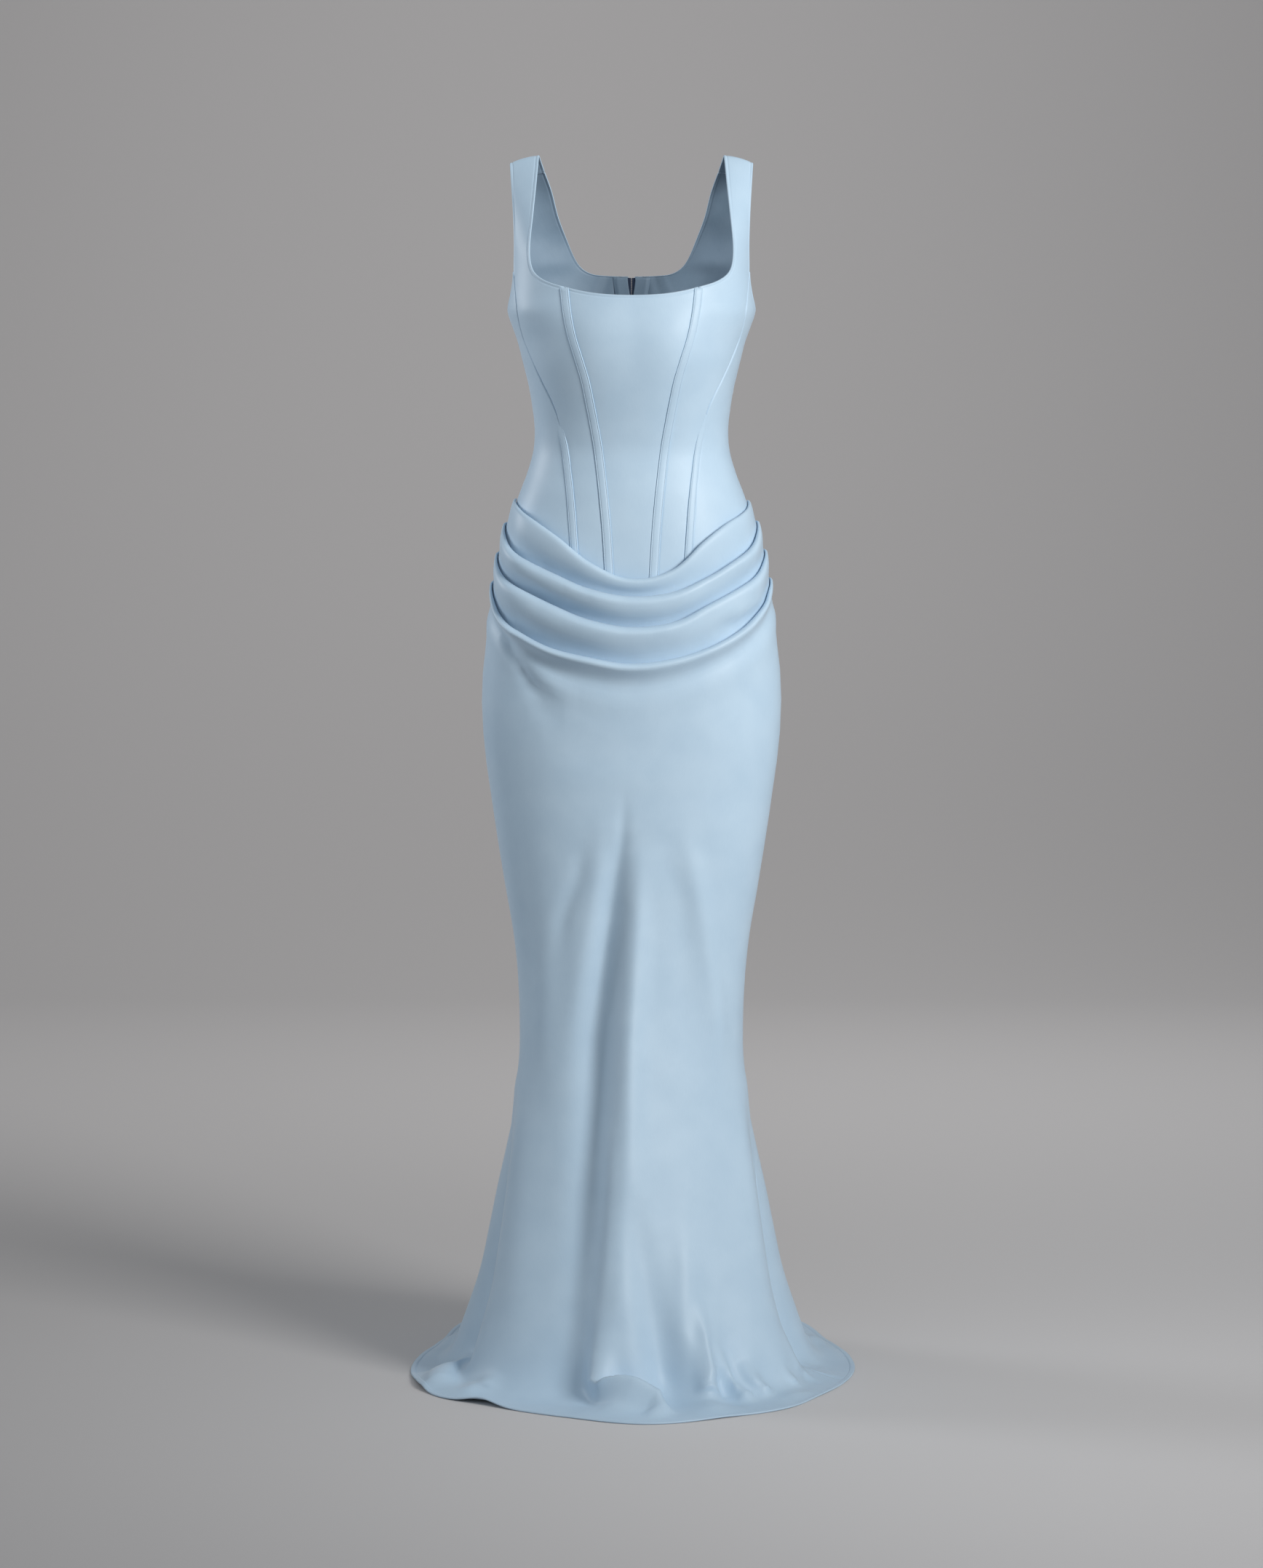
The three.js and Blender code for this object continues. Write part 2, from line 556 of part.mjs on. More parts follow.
// Turn of the side seam: at the side down to the calf, then drifting forwards to the hem.
function sideSeamTurn(at) {
  return 90 - 6 * ease(330 - at, 0, 270) - 9 * ease(60 - at, 0, 140);
}

function drapeProfile(turn) {
  const line = (name) => valueAt(drapeLines, 'turn', name, turn);
  const side = ease(Math.abs(turn), 50, 88);
  const under = mix(2.5, 1.3, ease(Math.abs(turn), 55, 75));
  const stations = [];
  const put = (at, lift) => stations.push({ at, lift });
  const roll = (name, innerLift) => {
    const radius = mix(ROLLS[name], TUCK_RADIUS, side);
    for (const angle of [180, 120, 60, 0]) {
      const bend = toRadians(angle);
      put(line(name) - radius + radius * Math.sin(bend), innerLift + radius + radius * Math.cos(bend));
    }
    return innerLift + 2 * radius;
  };
  put(line('edge') - EDGE_ALLOWANCE, under);
  let crest = roll('edge', under);
  let above = 'edge';
  for (const name of ['first', 'second', 'third']) {
    put(mix(line(above), line(name), 0.5), mix(crest, under, 0.25));
    put(line(name) + 1.5, under + 0.4);
    const bottom = line(name) - TURN_UNDER;
    put(bottom + TUCK_RADIUS, under);
    put(bottom, under + TUCK_RADIUS);
    put(bottom + TUCK_RADIUS, under + 2 * TUCK_RADIUS);
    crest = roll(name, under + 2 * TUCK_RADIUS);
    above = name;
  }
  put(mix(line('third'), line('fourth'), 0.55), mix(crest, 1, 0.3));
  put(line('fourth'), 0.8);
  put(mix(line('fourth'), line('fifth'), 0.35), 3.6);
  put(line('fifth'), 0.6);
  put(mix(line('fifth'), SKIRT_HEIGHTS[0], 0.4), 1.4);
  SKIRT_HEIGHTS.forEach((at) => put(at, 0));
  return stations;
}

// Profile moved out by a distance, each corner by its mitre, which is cut short at a sharp turn.
const LONGEST_MITRE = 1.6;

function offsetProfile(stations, distance) {
  const last = stations.length - 1;
  const leg = (i) => {
    const [from, to] = [stations[i], stations[i + 1]];
    return new THREE.Vector2(to.at - from.at, to.lift - from.lift).normalize();
  };
  return stations.map((here, i) => {
    const out = leg(Math.min(i, last - 1));
    const along = leg(Math.max(i - 1, 0)).add(out).normalize();
    const reach = distance * Math.min(LONGEST_MITRE, 1 / along.dot(out));
    return { at: here.at + along.y * reach, lift: here.lift - along.x * reach };
  });
}

// Front of the skirt, from side seam to side seam. Its columns crowd towards the seams, where the
// tucks are tight.
const CROWDING = 0.25;

function skirtFront(columns) {
  const shares = evenly(columns, -1, 1).map((c) => c - (CROWDING / Math.PI) * Math.sin(Math.PI * c));
  const strips = (distance) => shares.map((share) => {
    const profile = offsetProfile(drapeProfile(90 * share), distance);
    return profile.map(({ at, lift }) => {
      const edge = shiftedTurn(sideSeamTurn(at), at, -SEAM_GAP / 2);
      return clothPoint(edge * share, at, lift);
    });
  });
  return wallBetween(strips(SKIRT_CLOTH / 2), strips(-SKIRT_CLOTH / 2));
}

// One half of the skirt back, from the side seam to the seam at the centre back.
const BACK_HEIGHTS = [1000, 965, 930, 895, 860, 820, 780, 740, ...SKIRT_HEIGHTS];

function skirtBack(columns, side) {
  const strips = (lift) => evenly(columns).map((share) => {
    const heights = [waistSeam(mix(90, 180, share)), ...BACK_HEIGHTS];
    return heights.map((at) => {
      const start = shiftedTurn(side * sideSeamTurn(at), at, (side * SEAM_GAP) / 2);
      const end = shiftedTurn(side * 180, at, -side * ZIP_SHUT);
      return clothPoint(mix(start, end, share), at, lift);
    });
  });
  return wallBetween(strips(0), strips(-SKIRT_CLOTH));
}

// Zip tape behind the edges of the back, from the neckline to the hip.
const TAPE_WIDTH = 11;
const TAPE_THICKNESS = 1;
const TAPE_TOP_SETBACK = 1.5;
const TAPE_CLEARANCE = 0.8;
const TAPE_OPEN = 2;

function zipTape() {
  const waist = waistSeam(180) + SEAM_GAP;
  const upper = evenly(SEAM_ROWS, BACK_NECK_HEIGHT - TAPE_TOP_SETBACK, waist);
  const heights = [...upper, ...BACK_HEIGHTS.filter((height) => height > ZIP_END), ZIP_END];
  const strip = (lift) => heights.map((height) => evenly(2).map((share) => {
    const across = zipGap(height, TAPE_OPEN) + share * TAPE_WIDTH;
    return clothPoint(backTurn(across, height), height, lift);
  }));
  const outer = -BODICE_CLOTH - TAPE_CLEARANCE;
  return wallBetween(strip(outer), strip(outer - TAPE_THICKNESS));
}

// Slider with two ears and a pin, and the pull tab that hangs on the pin. It is seated just behind
// the cloth of the back.
const SLIDER = { width: 6.4, depth: 2.4, length: 9, earWidth: 0.9, earLength: 3.4, earSink: 0.5 };
const SLIDER_SEAT = 0.45;
const PIN_RADIUS = 0.6;
const PIN_COVER = 0.7;
const EYE_RADIUS = 1.6;
const EYE_HOLE = 0.75;
const EYE_CLEARANCE = 0.2;
const PULL_LENGTH = 19;
const PULL_THICKNESS = 1.2;
const PULL_WIDTH = 3.8;
const PULL_PLAY = 0.25;

const wasm = await Module();
wasm.setup();

function solidOf(geometry) {
  const plain = geometry.index ? geometry.toNonIndexed() : geometry.clone();
  plain.deleteAttribute('normal');
  plain.deleteAttribute('uv');
  const merged = mergeVertices(plain, 1e-4);
  return new wasm.Manifold(new wasm.Mesh({
    numProp: 3,
    vertProperties: merged.attributes.position.array,
    triVerts: new Uint32Array(merged.index.array),
  }));
}

function geometryOf(solid) {
  const mesh = solid.getMesh();
  const geometry = new THREE.BufferGeometry();
  geometry.setAttribute('position', new THREE.Float32BufferAttribute(mesh.vertProperties, 3));
  geometry.setIndex(new THREE.Uint32BufferAttribute(mesh.triVerts, 1));
  geometry.computeVertexNormals();
  return geometry;
}

// Centre of the pin, measured from the slider's back face.
const PIN_OUT = SLIDER.depth + EYE_RADIUS + EYE_CLEARANCE;

function sliderGeometry() {
  const body = new THREE.BoxGeometry(SLIDER.width, SLIDER.depth, SLIDER.length);
  body.translate(0, SLIDER.depth / 2, 0);
  let solid = solidOf(body);
  const earFrom = SLIDER.depth - SLIDER.earSink;
  const earTo = PIN_OUT + PIN_RADIUS + PIN_COVER;
  const earPlace = PULL_WIDTH / 2 + PULL_PLAY + SLIDER.earWidth / 2;
  for (const side of [-1, 1]) {
    const ear = new THREE.BoxGeometry(SLIDER.earWidth, earTo - earFrom, SLIDER.earLength);
    ear.translate(side * earPlace, (earFrom + earTo) / 2, 0);
    solid = solid.add(solidOf(ear));
  }
  const pin = new THREE.CylinderGeometry(PIN_RADIUS, PIN_RADIUS, 2 * earPlace, 12);
  pin.rotateZ(Math.PI / 2);
  pin.translate(0, PIN_OUT, 0);
  return geometryOf(solid.add(solidOf(pin)));
}

// Pull tab: the side view of its eye and stem, extruded across its width. Its origin is the pin's axis.
function pullGeometry() {
  const half = PULL_THICKNESS / 2;
  const meet = Math.asin(half / EYE_RADIUS);
  const outline = new THREE.Shape();
  outline.absarc(0, 0, EYE_RADIUS, -Math.PI / 2 + meet, Math.PI * 1.5 - meet, false);
  outline.lineTo(-half, -PULL_LENGTH);
  outline.lineTo(half, -PULL_LENGTH);
  outline.closePath();
  const hole = new THREE.Path();
  hole.absarc(0, 0, EYE_HOLE, 0, Math.PI * 2, true);
  outline.holes.push(hole);
  const extent = { depth: PULL_WIDTH, bevelEnabled: false, curveSegments: 10 };
  const geometry = new THREE.ExtrudeGeometry(outline, extent);
  geometry.translate(0, 0, -PULL_WIDTH / 2);
  geometry.rotateX(Math.PI / 2);
  geometry.rotateZ(Math.PI / 2);
  return geometry;
}

// The dress, built from the floor up and then lowered so that its strap tops are at the origin.
const dress = new THREE.Group();
dress.position.z = -SHOULDER_HEIGHT;

function addPiece(name, geometry, finish) {
  const mesh = new THREE.Mesh(geometry, new THREE.MeshStandardMaterial(finish));
  mesh.name = name;
  dress.add(mesh);
  return mesh;
}

// The same piece for the other side of the body.
function mirrored(geometry) {
  const copy = geometry.clone();
  copy.scale(-1, 1, 1);
  const faces = Array.from(copy.index.array).reverse();
  copy.setIndex(faces);
  copy.computeVertexNormals();
  return copy;
}

function addPair(name, geometry, finish) {
  addPiece(`${name}_left`, geometry, finish);
  addPiece(`${name}_right`, mirrored(geometry), finish);
}

const outside = () => 0;
const bodiceInside = () => -BODICE_CLOTH;
const channelOutside = (v) => CHANNEL_LIFT + CHANNEL_EDGE + (CHANNEL_CROWN - CHANNEL_EDGE) * (1 - v * v);
const channelInside = () => CHANNEL_LIFT;
const seamRows = evenly(SEAM_ROWS);
const bodyRows = evenly(BODY_ROWS);
const strapRows = evenly(11, 1, 2).slice(1);
const channelColumns = evenly(3, -1, 1);

addPiece('centre_front', panelWall(centreFront, evenly(8, -1, 1), seamRows, 1, outside, bodiceInside), SATIN);
const wallOf = (at, columns, rows) => panelWall(at, evenly(columns), rows, 1, outside, bodiceInside);
addPair('side_front', wallOf(sideFront, 5, [...bodyRows, ...strapRows]), SATIN);
addPair('side_panel', wallOf(sidePanel, 4, bodyRows), SATIN);
addPair('side_back', wallOf(sideBack, 4, bodyRows), SATIN);
addPair('back', panelWall(back, evenly(5), [...bodyRows, ...strapRows], -1, outside, bodiceInside), SATIN);

// The channels start just above the corset's lower edge. The outer one stops over the waist.
const PRINCESS_ENDS = { foot: 0.04, top: 0.995 };
const OUTER_ENDS = { foot: 0.075, top: 0.53 };
const channelOf = (at, rows) => panelWall(at, channelColumns, rows, 1, channelOutside, channelInside);
const princessRows = [PRINCESS_ENDS.foot, ...seamRows.slice(1, -1), PRINCESS_ENDS.top];
addPair('princess_channel', channelOf(princessChannel, princessRows), SATIN);
const outerRows = [OUTER_ENDS.foot, ...bodyRows.slice(2).filter((r) => r < OUTER_ENDS.top)];
addPair('outer_channel', channelOf(outerChannel, outerRows), SATIN);

addPiece('skirt_front', skirtFront(26), SATIN);
addPiece('skirt_back_left', skirtBack(9, 1), SATIN);
addPiece('skirt_back_right', skirtBack(9, -1), SATIN);

addPair('zip_tape', zipTape(), ZIP_TAPE);
const sliderBack = ringPoint(180, SLIDER_HEIGHT).y + SLIDER_SEAT;
const slider = addPiece('zip_slider', sliderGeometry(), ZIP_METAL);
slider.position.set(0, sliderBack, SLIDER_HEIGHT);
const pull = addPiece('zip_pull', pullGeometry(), ZIP_METAL);
pull.position.set(0, sliderBack + PIN_OUT, SLIDER_HEIGHT);

export default dress;
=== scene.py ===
# %% [markdown]
# # A corset maxi dress in pale blue satin
#
# This notebook dresses the CAD model of a floor-length satin dress. The CAD model gives each sewn
# piece its place as a plain wall. Here each piece becomes cloth: a thin shell on the same form, with
# turned seams, folds, stitches, a lining and a zip. Lengths are worked out in millimetres above the
# floor, as a dressmaker reads them, and are turned into the model's metres when a mesh is made.

import json

import bpy
import numpy as np
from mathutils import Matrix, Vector

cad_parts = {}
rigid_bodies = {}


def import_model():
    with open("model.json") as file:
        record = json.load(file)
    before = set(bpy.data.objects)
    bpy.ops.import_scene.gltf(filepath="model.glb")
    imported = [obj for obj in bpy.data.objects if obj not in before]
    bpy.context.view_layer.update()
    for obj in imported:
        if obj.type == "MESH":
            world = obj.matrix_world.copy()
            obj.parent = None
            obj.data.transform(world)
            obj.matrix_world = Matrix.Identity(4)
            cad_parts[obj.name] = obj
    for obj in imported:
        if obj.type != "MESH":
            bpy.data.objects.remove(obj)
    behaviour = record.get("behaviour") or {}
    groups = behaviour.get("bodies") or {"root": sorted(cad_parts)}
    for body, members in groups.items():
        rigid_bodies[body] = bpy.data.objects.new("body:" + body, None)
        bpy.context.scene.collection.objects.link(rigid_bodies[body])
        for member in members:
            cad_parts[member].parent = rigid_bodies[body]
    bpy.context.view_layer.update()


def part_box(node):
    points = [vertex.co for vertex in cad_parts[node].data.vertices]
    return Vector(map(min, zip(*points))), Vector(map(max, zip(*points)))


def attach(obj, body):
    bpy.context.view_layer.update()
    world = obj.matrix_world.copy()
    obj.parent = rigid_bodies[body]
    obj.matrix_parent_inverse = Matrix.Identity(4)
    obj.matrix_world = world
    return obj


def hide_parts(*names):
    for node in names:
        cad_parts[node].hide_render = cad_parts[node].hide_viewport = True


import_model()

# %% [markdown]
# ## Curves from short tables
#
# A dress form is known by its rings: a tape measure's reading at each height. Between the readings
# the form is smooth. A cubic piece between two rows of a table, with slopes taken from the
# neighbouring rows, gives that smoothness and passes through every reading.

# %% Smooth tables
SHOULDER_HEIGHT = 1438.0


def table(columns, *rows):
    """Rows of numbers as one array for each named column."""
    return dict(zip(columns.split(), np.array(rows, float).T))


def value_at(rows, key, column, place):
    """Smooth value of a column where the key column has the given place."""
    keys, values = rows[key], rows[column]
    last = len(keys) - 1
    index = np.arange(last + 1)
    before, after = np.maximum(index - 1, 0), np.minimum(index + 1, last)
    slopes = (values[after] - values[before]) / (keys[after] - keys[before])
    place = np.clip(place, keys[0], keys[last])
    i = np.clip(np.searchsorted(keys, place, side="left") - 1, 0, last - 1)
    span = keys[i + 1] - keys[i]
    t = (place - keys[i]) / span
    rise = (values[i + 1] - values[i]) * t * t * (3 - 2 * t)
    return values[i] + rise + slopes[i] * span * t * (1 - t) ** 2 - slopes[i + 1] * span * t * t * (1 - t)


def rows_of(columns):
    """A table's rows, each with its columns by name."""
    names = list(columns)
    return [dict(zip(names, row)) for row in zip(*columns.values())]


print("half way from 1 to 3:", float(value_at(table("at reach", (0, 1), (1, 3)), "at", "reach", 0.5)))

# %% Mixes, steps and bells
def mix(a, b, share):
    """From a to b by a share."""
    return a + (b - a) * share


def ease(value, start, end):
    """Zero before start, one after end, and smooth between them."""
    t = np.clip((value - start) / (end - start), 0, 1)
    return t * t * (3 - 2 * t)


def bell(distance, spread):
    """A bell of height one at zero."""
    return np.exp(-0.5 * (distance / spread) ** 2)


print("half way up a step:", float(ease(0.5, 0, 1)), "a bell at its spread:", round(float(bell(1.0, 1.0)), 3))

# %% [markdown]
# ## The form under the cloth
#
# Each ring is a superellipse with its own depth in front and behind. Below the ankle the rows run on
# along the floor, out to the hem. A place is a turn round the body in degrees from the front centre
# towards +X, and a height, and the function gives the point there for whole arrays at once.

# %% Rings of the body form
RINGS = table(
    "at height half front back power",
    (0, 0.8, 236, 206, 292, 2), (8, 6, 230, 196, 281, 2), (20, 17, 226, 187, 271, 2),
    (40, 38, 219, 179, 261, 2), (60, 60, 211, 172, 252, 2), (114, 114, 192, 153, 216, 2),
    (166, 166, 179.5, 138, 185, 2), (217, 217, 168, 125, 161, 2), (269, 269, 154.5, 114, 141, 2.05),
    (320, 320, 141.5, 105, 125, 2.1), (372, 372, 133, 98, 113, 2.15), (423, 423, 132, 93, 105, 2.2),
    (475, 475, 134.1, 91, 100, 2.2), (527, 527, 139.6, 91, 98, 2.2), (578, 578, 148.1, 92.5, 98.5, 2.2),
    (630, 630, 156.6, 95, 101.5, 2.2), (682, 682, 164.2, 97.5, 106.5, 2.2),
    (734, 734, 170.9, 99.5, 113.5, 2.2), (786, 786, 174, 101, 121, 2.2), (837, 837, 173.2, 101.5, 126, 2.2),
    (889, 889, 167, 100.5, 126.5, 2.2), (940, 940, 160, 98.5, 121, 2.2), (991, 991, 149.5, 96.5, 110, 2.2),
    (1042, 1042, 132.5, 93.5, 95, 2.2), (1068, 1068, 122.6, 90, 87, 2.2), (1094, 1094, 115.3, 88.5, 81, 2.2),
    (1119, 1119, 113.6, 94, 79.5, 2.2), (1145, 1145, 116.3, 101.5, 83, 2.2),
    (1170, 1170, 120.6, 108.5, 88, 2.2), (1196, 1196, 126.9, 114.5, 93, 2.2),
    (1221, 1221, 133.2, 118, 96, 2.2), (1240, 1240, 140, 118, 97.5, 2.25),
    (1256, 1256, 145, 116, 98.5, 2.3), (1275, 1275, 144, 113, 99, 2.3), (1300, 1300, 141.5, 111, 98.5, 2.3),
    (1325, 1325, 141, 106, 98, 2.3),
)
HEM_REACH = table(
    "turn reach",
    (-180, 402), (-150, 372), (-127, 290), (-110, 269), (-80, 262), (-58, 268), (-40, 254), (-17, 263),
    (3, 288), (24, 275), (40, 274), (57, 260), (80, 262), (110, 277), (127, 298), (150, 372), (180, 402),
)
HEM_LENGTH = 80
# The cups: distance from the centre line, height, rise, width and tallness of each, how softly they
# meet in the middle, and the height below which the form has none.
CUP = {"across": 61, "height": 1207, "rise": 6, "wide": 36, "tall": 36, "middle": 14, "above": 1080}
print("rings:", len(RINGS["at"]), "up to", RINGS["at"][-1], "mm; places of the hem:", len(HEM_REACH["turn"]))


# %% Points and directions on the form
def ring_point(turn, at):
    """Point of the plain form: half width and depth times powers of the turn's sine and cosine.

    Below the floor ring the point moves in a straight line to the hem's reach on the floor.
    """
    turn, at = np.broadcast_arrays(np.asarray(turn, float), np.asarray(at, float))
    sine, cosine = np.sin(np.radians(turn)), np.cos(np.radians(turn))
    power = 2 / value_at(RINGS, "at", "power", at)
    depth = np.where(cosine > 0, -value_at(RINGS, "at", "front", at), value_at(RINGS, "at", "back", at))
    x = value_at(RINGS, "at", "half", at) * np.sign(sine) * np.abs(sine) ** power
    y = depth * np.abs(cosine) ** power
    cup = bell(np.hypot(x, CUP["middle"]) - CUP["across"], CUP["wide"]) * bell(
        at - CUP["height"], CUP["tall"])
    in_front = (cosine > 0) & (at > CUP["above"])
    y = y - np.where(in_front, CUP["rise"] * cup * np.clip(cosine * 2, 0, 1), 0)
    point = np.stack([x, y, value_at(RINGS, "at", "height", at)], axis=-1)
    compass = np.arctan2(x, -y)
    reach = value_at(HEM_REACH, "turn", "reach", np.degrees(compass))
    hem = np.stack([np.sin(compass) * reach, -np.cos(compass) * reach, point[..., 2]], axis=-1)
    return mix(point, hem, (np.maximum(-at, 0) / HEM_LENGTH)[..., None])


def unit(vectors):
    """Each vector at length one."""
    return vectors / np.maximum(np.linalg.norm(vectors, axis=-1, keepdims=True), 1e-9)


def ring_normal(turn, at, step=0.6):
    """Outward direction: the cross product of the slopes round the form and up it."""
    across = ring_point(turn + step, at) - ring_point(turn - step, at)
    up = ring_point(turn, at + step) - ring_point(turn, at - step)
    return unit(np.cross(across, up))


def front_turn(across, height):
    """Turn of a place in front, from its distance to the centre line."""
    share = np.minimum(1, across / value_at(RINGS, "at", "half", height))
    return np.degrees(np.arcsin(share ** (value_at(RINGS, "at", "power", height) / 2)))


def shifted_turn(turn, at, distance, step=1.0):
    """Turn that lies a distance round the form from another turn."""
    way = ring_point(turn + step, at) - ring_point(turn - step, at)
    return turn + distance * 2 * step / np.linalg.norm(way, axis=-1)


print("waist half width:", float(value_at(RINGS, "at", "half", 1119.0)), "mm")

# %% [markdown]
# ## From a grid of points to cloth
#
# A sewn piece is a sheet with two sides and a turned edge. The grid of points is its middle. One side
# is the grid moved out along its own direction, the other is the grid moved in, and one more row of
# points round the rim makes the edge round, as folded satin is. The second side may carry another
# material, so the lining costs no second mesh.

# %% Directions and distances on a grid
def grid_normals(grid):
    """Direction across a grid of points, from the differences of its neighbours."""
    return unit(np.cross(np.gradient(grid, axis=1), np.gradient(grid, axis=0)))


def outward(grid):
    """Direction across a grid of points, on the side that looks away from the upright axis."""
    normals = grid_normals(grid)
    return normals * np.sign(np.einsum("ijk,ijk->ij", normals, grid * [1, 1, 0]).mean())


def is_turned(grid):
    """Whether the grid's own direction looks inwards, so that its columns have to be taken in reverse."""
    return np.einsum("ijk,ijk->ij", grid_normals(grid), grid * [1, 1, 0]).mean() < 0


def grid_lengths(grid):
    """Distance along the rows and along the columns of a grid, from its first corner."""
    across = np.linalg.norm(np.diff(grid, axis=1), axis=-1)
    along = np.linalg.norm(np.diff(grid, axis=0), axis=-1)
    u = np.concatenate([np.zeros((len(grid), 1)), np.cumsum(across, axis=1)], axis=1)
    v = np.concatenate([np.zeros((1, grid.shape[1])), np.cumsum(along, axis=0)], axis=0)
    return u, v


def cloth_uv(grid):
    """Distances along a grid as the coordinates of its pattern, point by point."""
    u, v = grid_lengths(grid)
    return np.stack([u.ravel(), v.ravel()], axis=-1)


def quads_of(rows, columns, start=0):
    """Four corners of each cell of a grid whose points are numbered row by row."""
    corner = start + np.arange(rows * columns).reshape(rows, columns)
    cells = [corner[:-1, :-1], corner[:-1, 1:], corner[1:, 1:], corner[1:, :-1]]
    return np.stack(cells, axis=-1).reshape(-1, 4)


def rim_of(rows, columns):
    """Numbers of the points round a grid, and of the point inside each."""
    corner = np.arange(rows * columns).reshape(rows, columns)
    i, j = np.indices((rows, columns))
    inner = corner[np.clip(i, 1, rows - 2), np.clip(j, 1, columns - 2)]
    ring = lambda a: np.concatenate([a[0, :-1], a[:-1, -1], a[-1, :0:-1], a[:0:-1, 0]])
    return ring(corner), ring(inner)


print("4 by 5 points make", len(quads_of(4, 5)), "cells, with", len(rim_of(4, 5)[0]), "points on their rim")


# %% A mesh from points and faces
def make_mesh(name, points, faces, materials, uv=None, kinds=None):
    """Mesh object in metres with smooth faces that point outwards."""
    loops = points[faces]
    flow = np.cross(loops[:, 2] - loops[:, 0], loops[:, -1] - loops[:, 1])
    if np.einsum("ij,ij->i", loops.mean(axis=1) - points.mean(axis=0), flow).sum() < 0:
        faces = faces[:, ::-1]
    mesh = bpy.data.meshes.new(name)
    metres = (points - [0, 0, SHOULDER_HEIGHT]) / 1000
    mesh.from_pydata(metres.tolist(), [], faces.tolist())
    mesh.polygons.foreach_set("use_smooth", np.ones(len(faces), bool))
    if kinds is not None:
        mesh.polygons.foreach_set("material_index", kinds.astype(np.int32))
    if uv is not None:
        mesh.uv_layers.new(name="cloth").data.foreach_set("uv", (uv[faces.ravel()] / 1000).ravel())
    mesh.update()
    piece = bpy.data.objects.new(name, mesh)
    bpy.context.scene.collection.objects.link(piece)
    for material in materials:
        mesh.materials.append(material)
    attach(piece, "dress")
    return piece


# %% A closed shell round a grid
# How far the rounded rim stands out, as a share of half the cloth's thickness.
RIM_SWELL = 0.8


def cloth_shell(name, middle, thickness, materials):
    """Closed shell round a grid: both sides, and a rim pushed out by part of the thickness."""
    rows, columns = middle.shape[:2]
    half = grid_normals(middle) * (np.broadcast_to(thickness, (rows, columns)) / 2)[..., None]
    sides = [(middle + half).reshape(-1, 3), (middle - half).reshape(-1, 3)]
    ring, inner = rim_of(rows, columns)
    flat = middle.reshape(-1, 3)
    swell = np.linalg.norm(half, axis=-1).reshape(-1, 1)[ring] * RIM_SWELL
    rim = flat[ring] + unit(flat[ring] - flat[inner]) * swell
    count, turns = rows * columns, len(ring)
    first = np.arange(turns)
    after = (first + 1) % turns
    outer = quads_of(rows, columns)
    inside = quads_of(rows, columns, count)[:, ::-1]
    upper = np.stack([ring[first], 2 * count + first, 2 * count + after, ring[after]], axis=-1)
    below, below_next = count + ring[first], count + ring[after]
    lower = np.stack([2 * count + first, below, below_next, 2 * count + after], axis=-1)
    uv = cloth_uv(middle)
    faces = np.concatenate([outer, inside, upper, lower])
    kinds = np.concatenate([np.zeros(len(outer)), np.ones(len(inside)), np.zeros(2 * turns)])
    kinds = kinds if len(materials) > 1 else None
    points = np.concatenate([*sides, rim])
    return make_mesh(name, points, faces, materials, np.concatenate([uv, uv, uv[ring]]), kinds)


print("a shell of 4 by 5 points has", 2 * len(quads_of(4, 5)) + 2 * len(rim_of(4, 5)[0]), "faces")

# %% [markdown]
# ## Satin
#
# Duchess satin is woven with long floats of the warp, so it reflects a soft, wide highlight that
# runs with the thread, and its shade stays clean. The threads are a tenth of a millimetre apart, which
# no picture of a whole dress shows, so the weave here is drawn eight times as coarse. A second, slow
# pattern gives the faint unevenness of cloth that has been pressed and worn.

# %% Colours and nodes
def linear(code):
    """An sRGB hex colour as linear red, green, blue and alpha."""
    parts = np.array([int(code[i:i + 2], 16) / 255 for i in (1, 3, 5)])
    light = np.where(parts <= 0.04045, parts / 12.92, ((parts + 0.055) / 1.055) ** 2.4)
    return (*light.tolist(), 1.0)


def add_node(tree, kind, settings, inputs):
    """Add a node with its settings; each input is a value or another node's output."""
    node = tree.nodes.new(kind)
    for name, value in settings.items():
        setattr(node, name, value)
    for name, value in inputs.items():
        if isinstance(value, bpy.types.NodeSocket):
            tree.links.new(value, node.inputs[name])
        else:
            node.inputs[name].default_value = value
    return node


def empty_material(name):
    """A material with no nodes yet, and its tree."""
    material = bpy.data.materials.new(name)
    material.use_nodes = True
    material.node_tree.nodes.clear()
    return material, material.node_tree


def pattern(tree, place, scale, detail, roughness=0.5):
    """Noise pattern read at a place."""
    return add_node(tree, "ShaderNodeTexNoise", {}, {
        "Vector": place, "Scale": scale, "Detail": detail, "Roughness": roughness})


def two_shades(tree, factor, dark, light, start=0.0, end=1.0):
    """Ramp from a dark to a light colour while a factor goes from start to end."""
    ramp = add_node(tree, "ShaderNodeValToRGB", {}, {"Fac": factor})
    low, high = ramp.color_ramp.elements
    low.position, high.position = start, end
    low.color, high.color = linear(dark), linear(light)
    return ramp


def show_surface(tree, inputs):
    """Principled shader with these inputs, joined to the material's output."""
    surface = add_node(tree, "ShaderNodeBsdfPrincipled", {}, inputs)
    add_node(tree, "ShaderNodeOutputMaterial", {}, {"Surface": surface.outputs["BSDF"]})


print("mid grey in linear light:", round(linear("#808080")[0], 4))

# %% Woven cloth
# A satin thread floats over this many times its own width before it dips.
FLOAT_LENGTH = 14


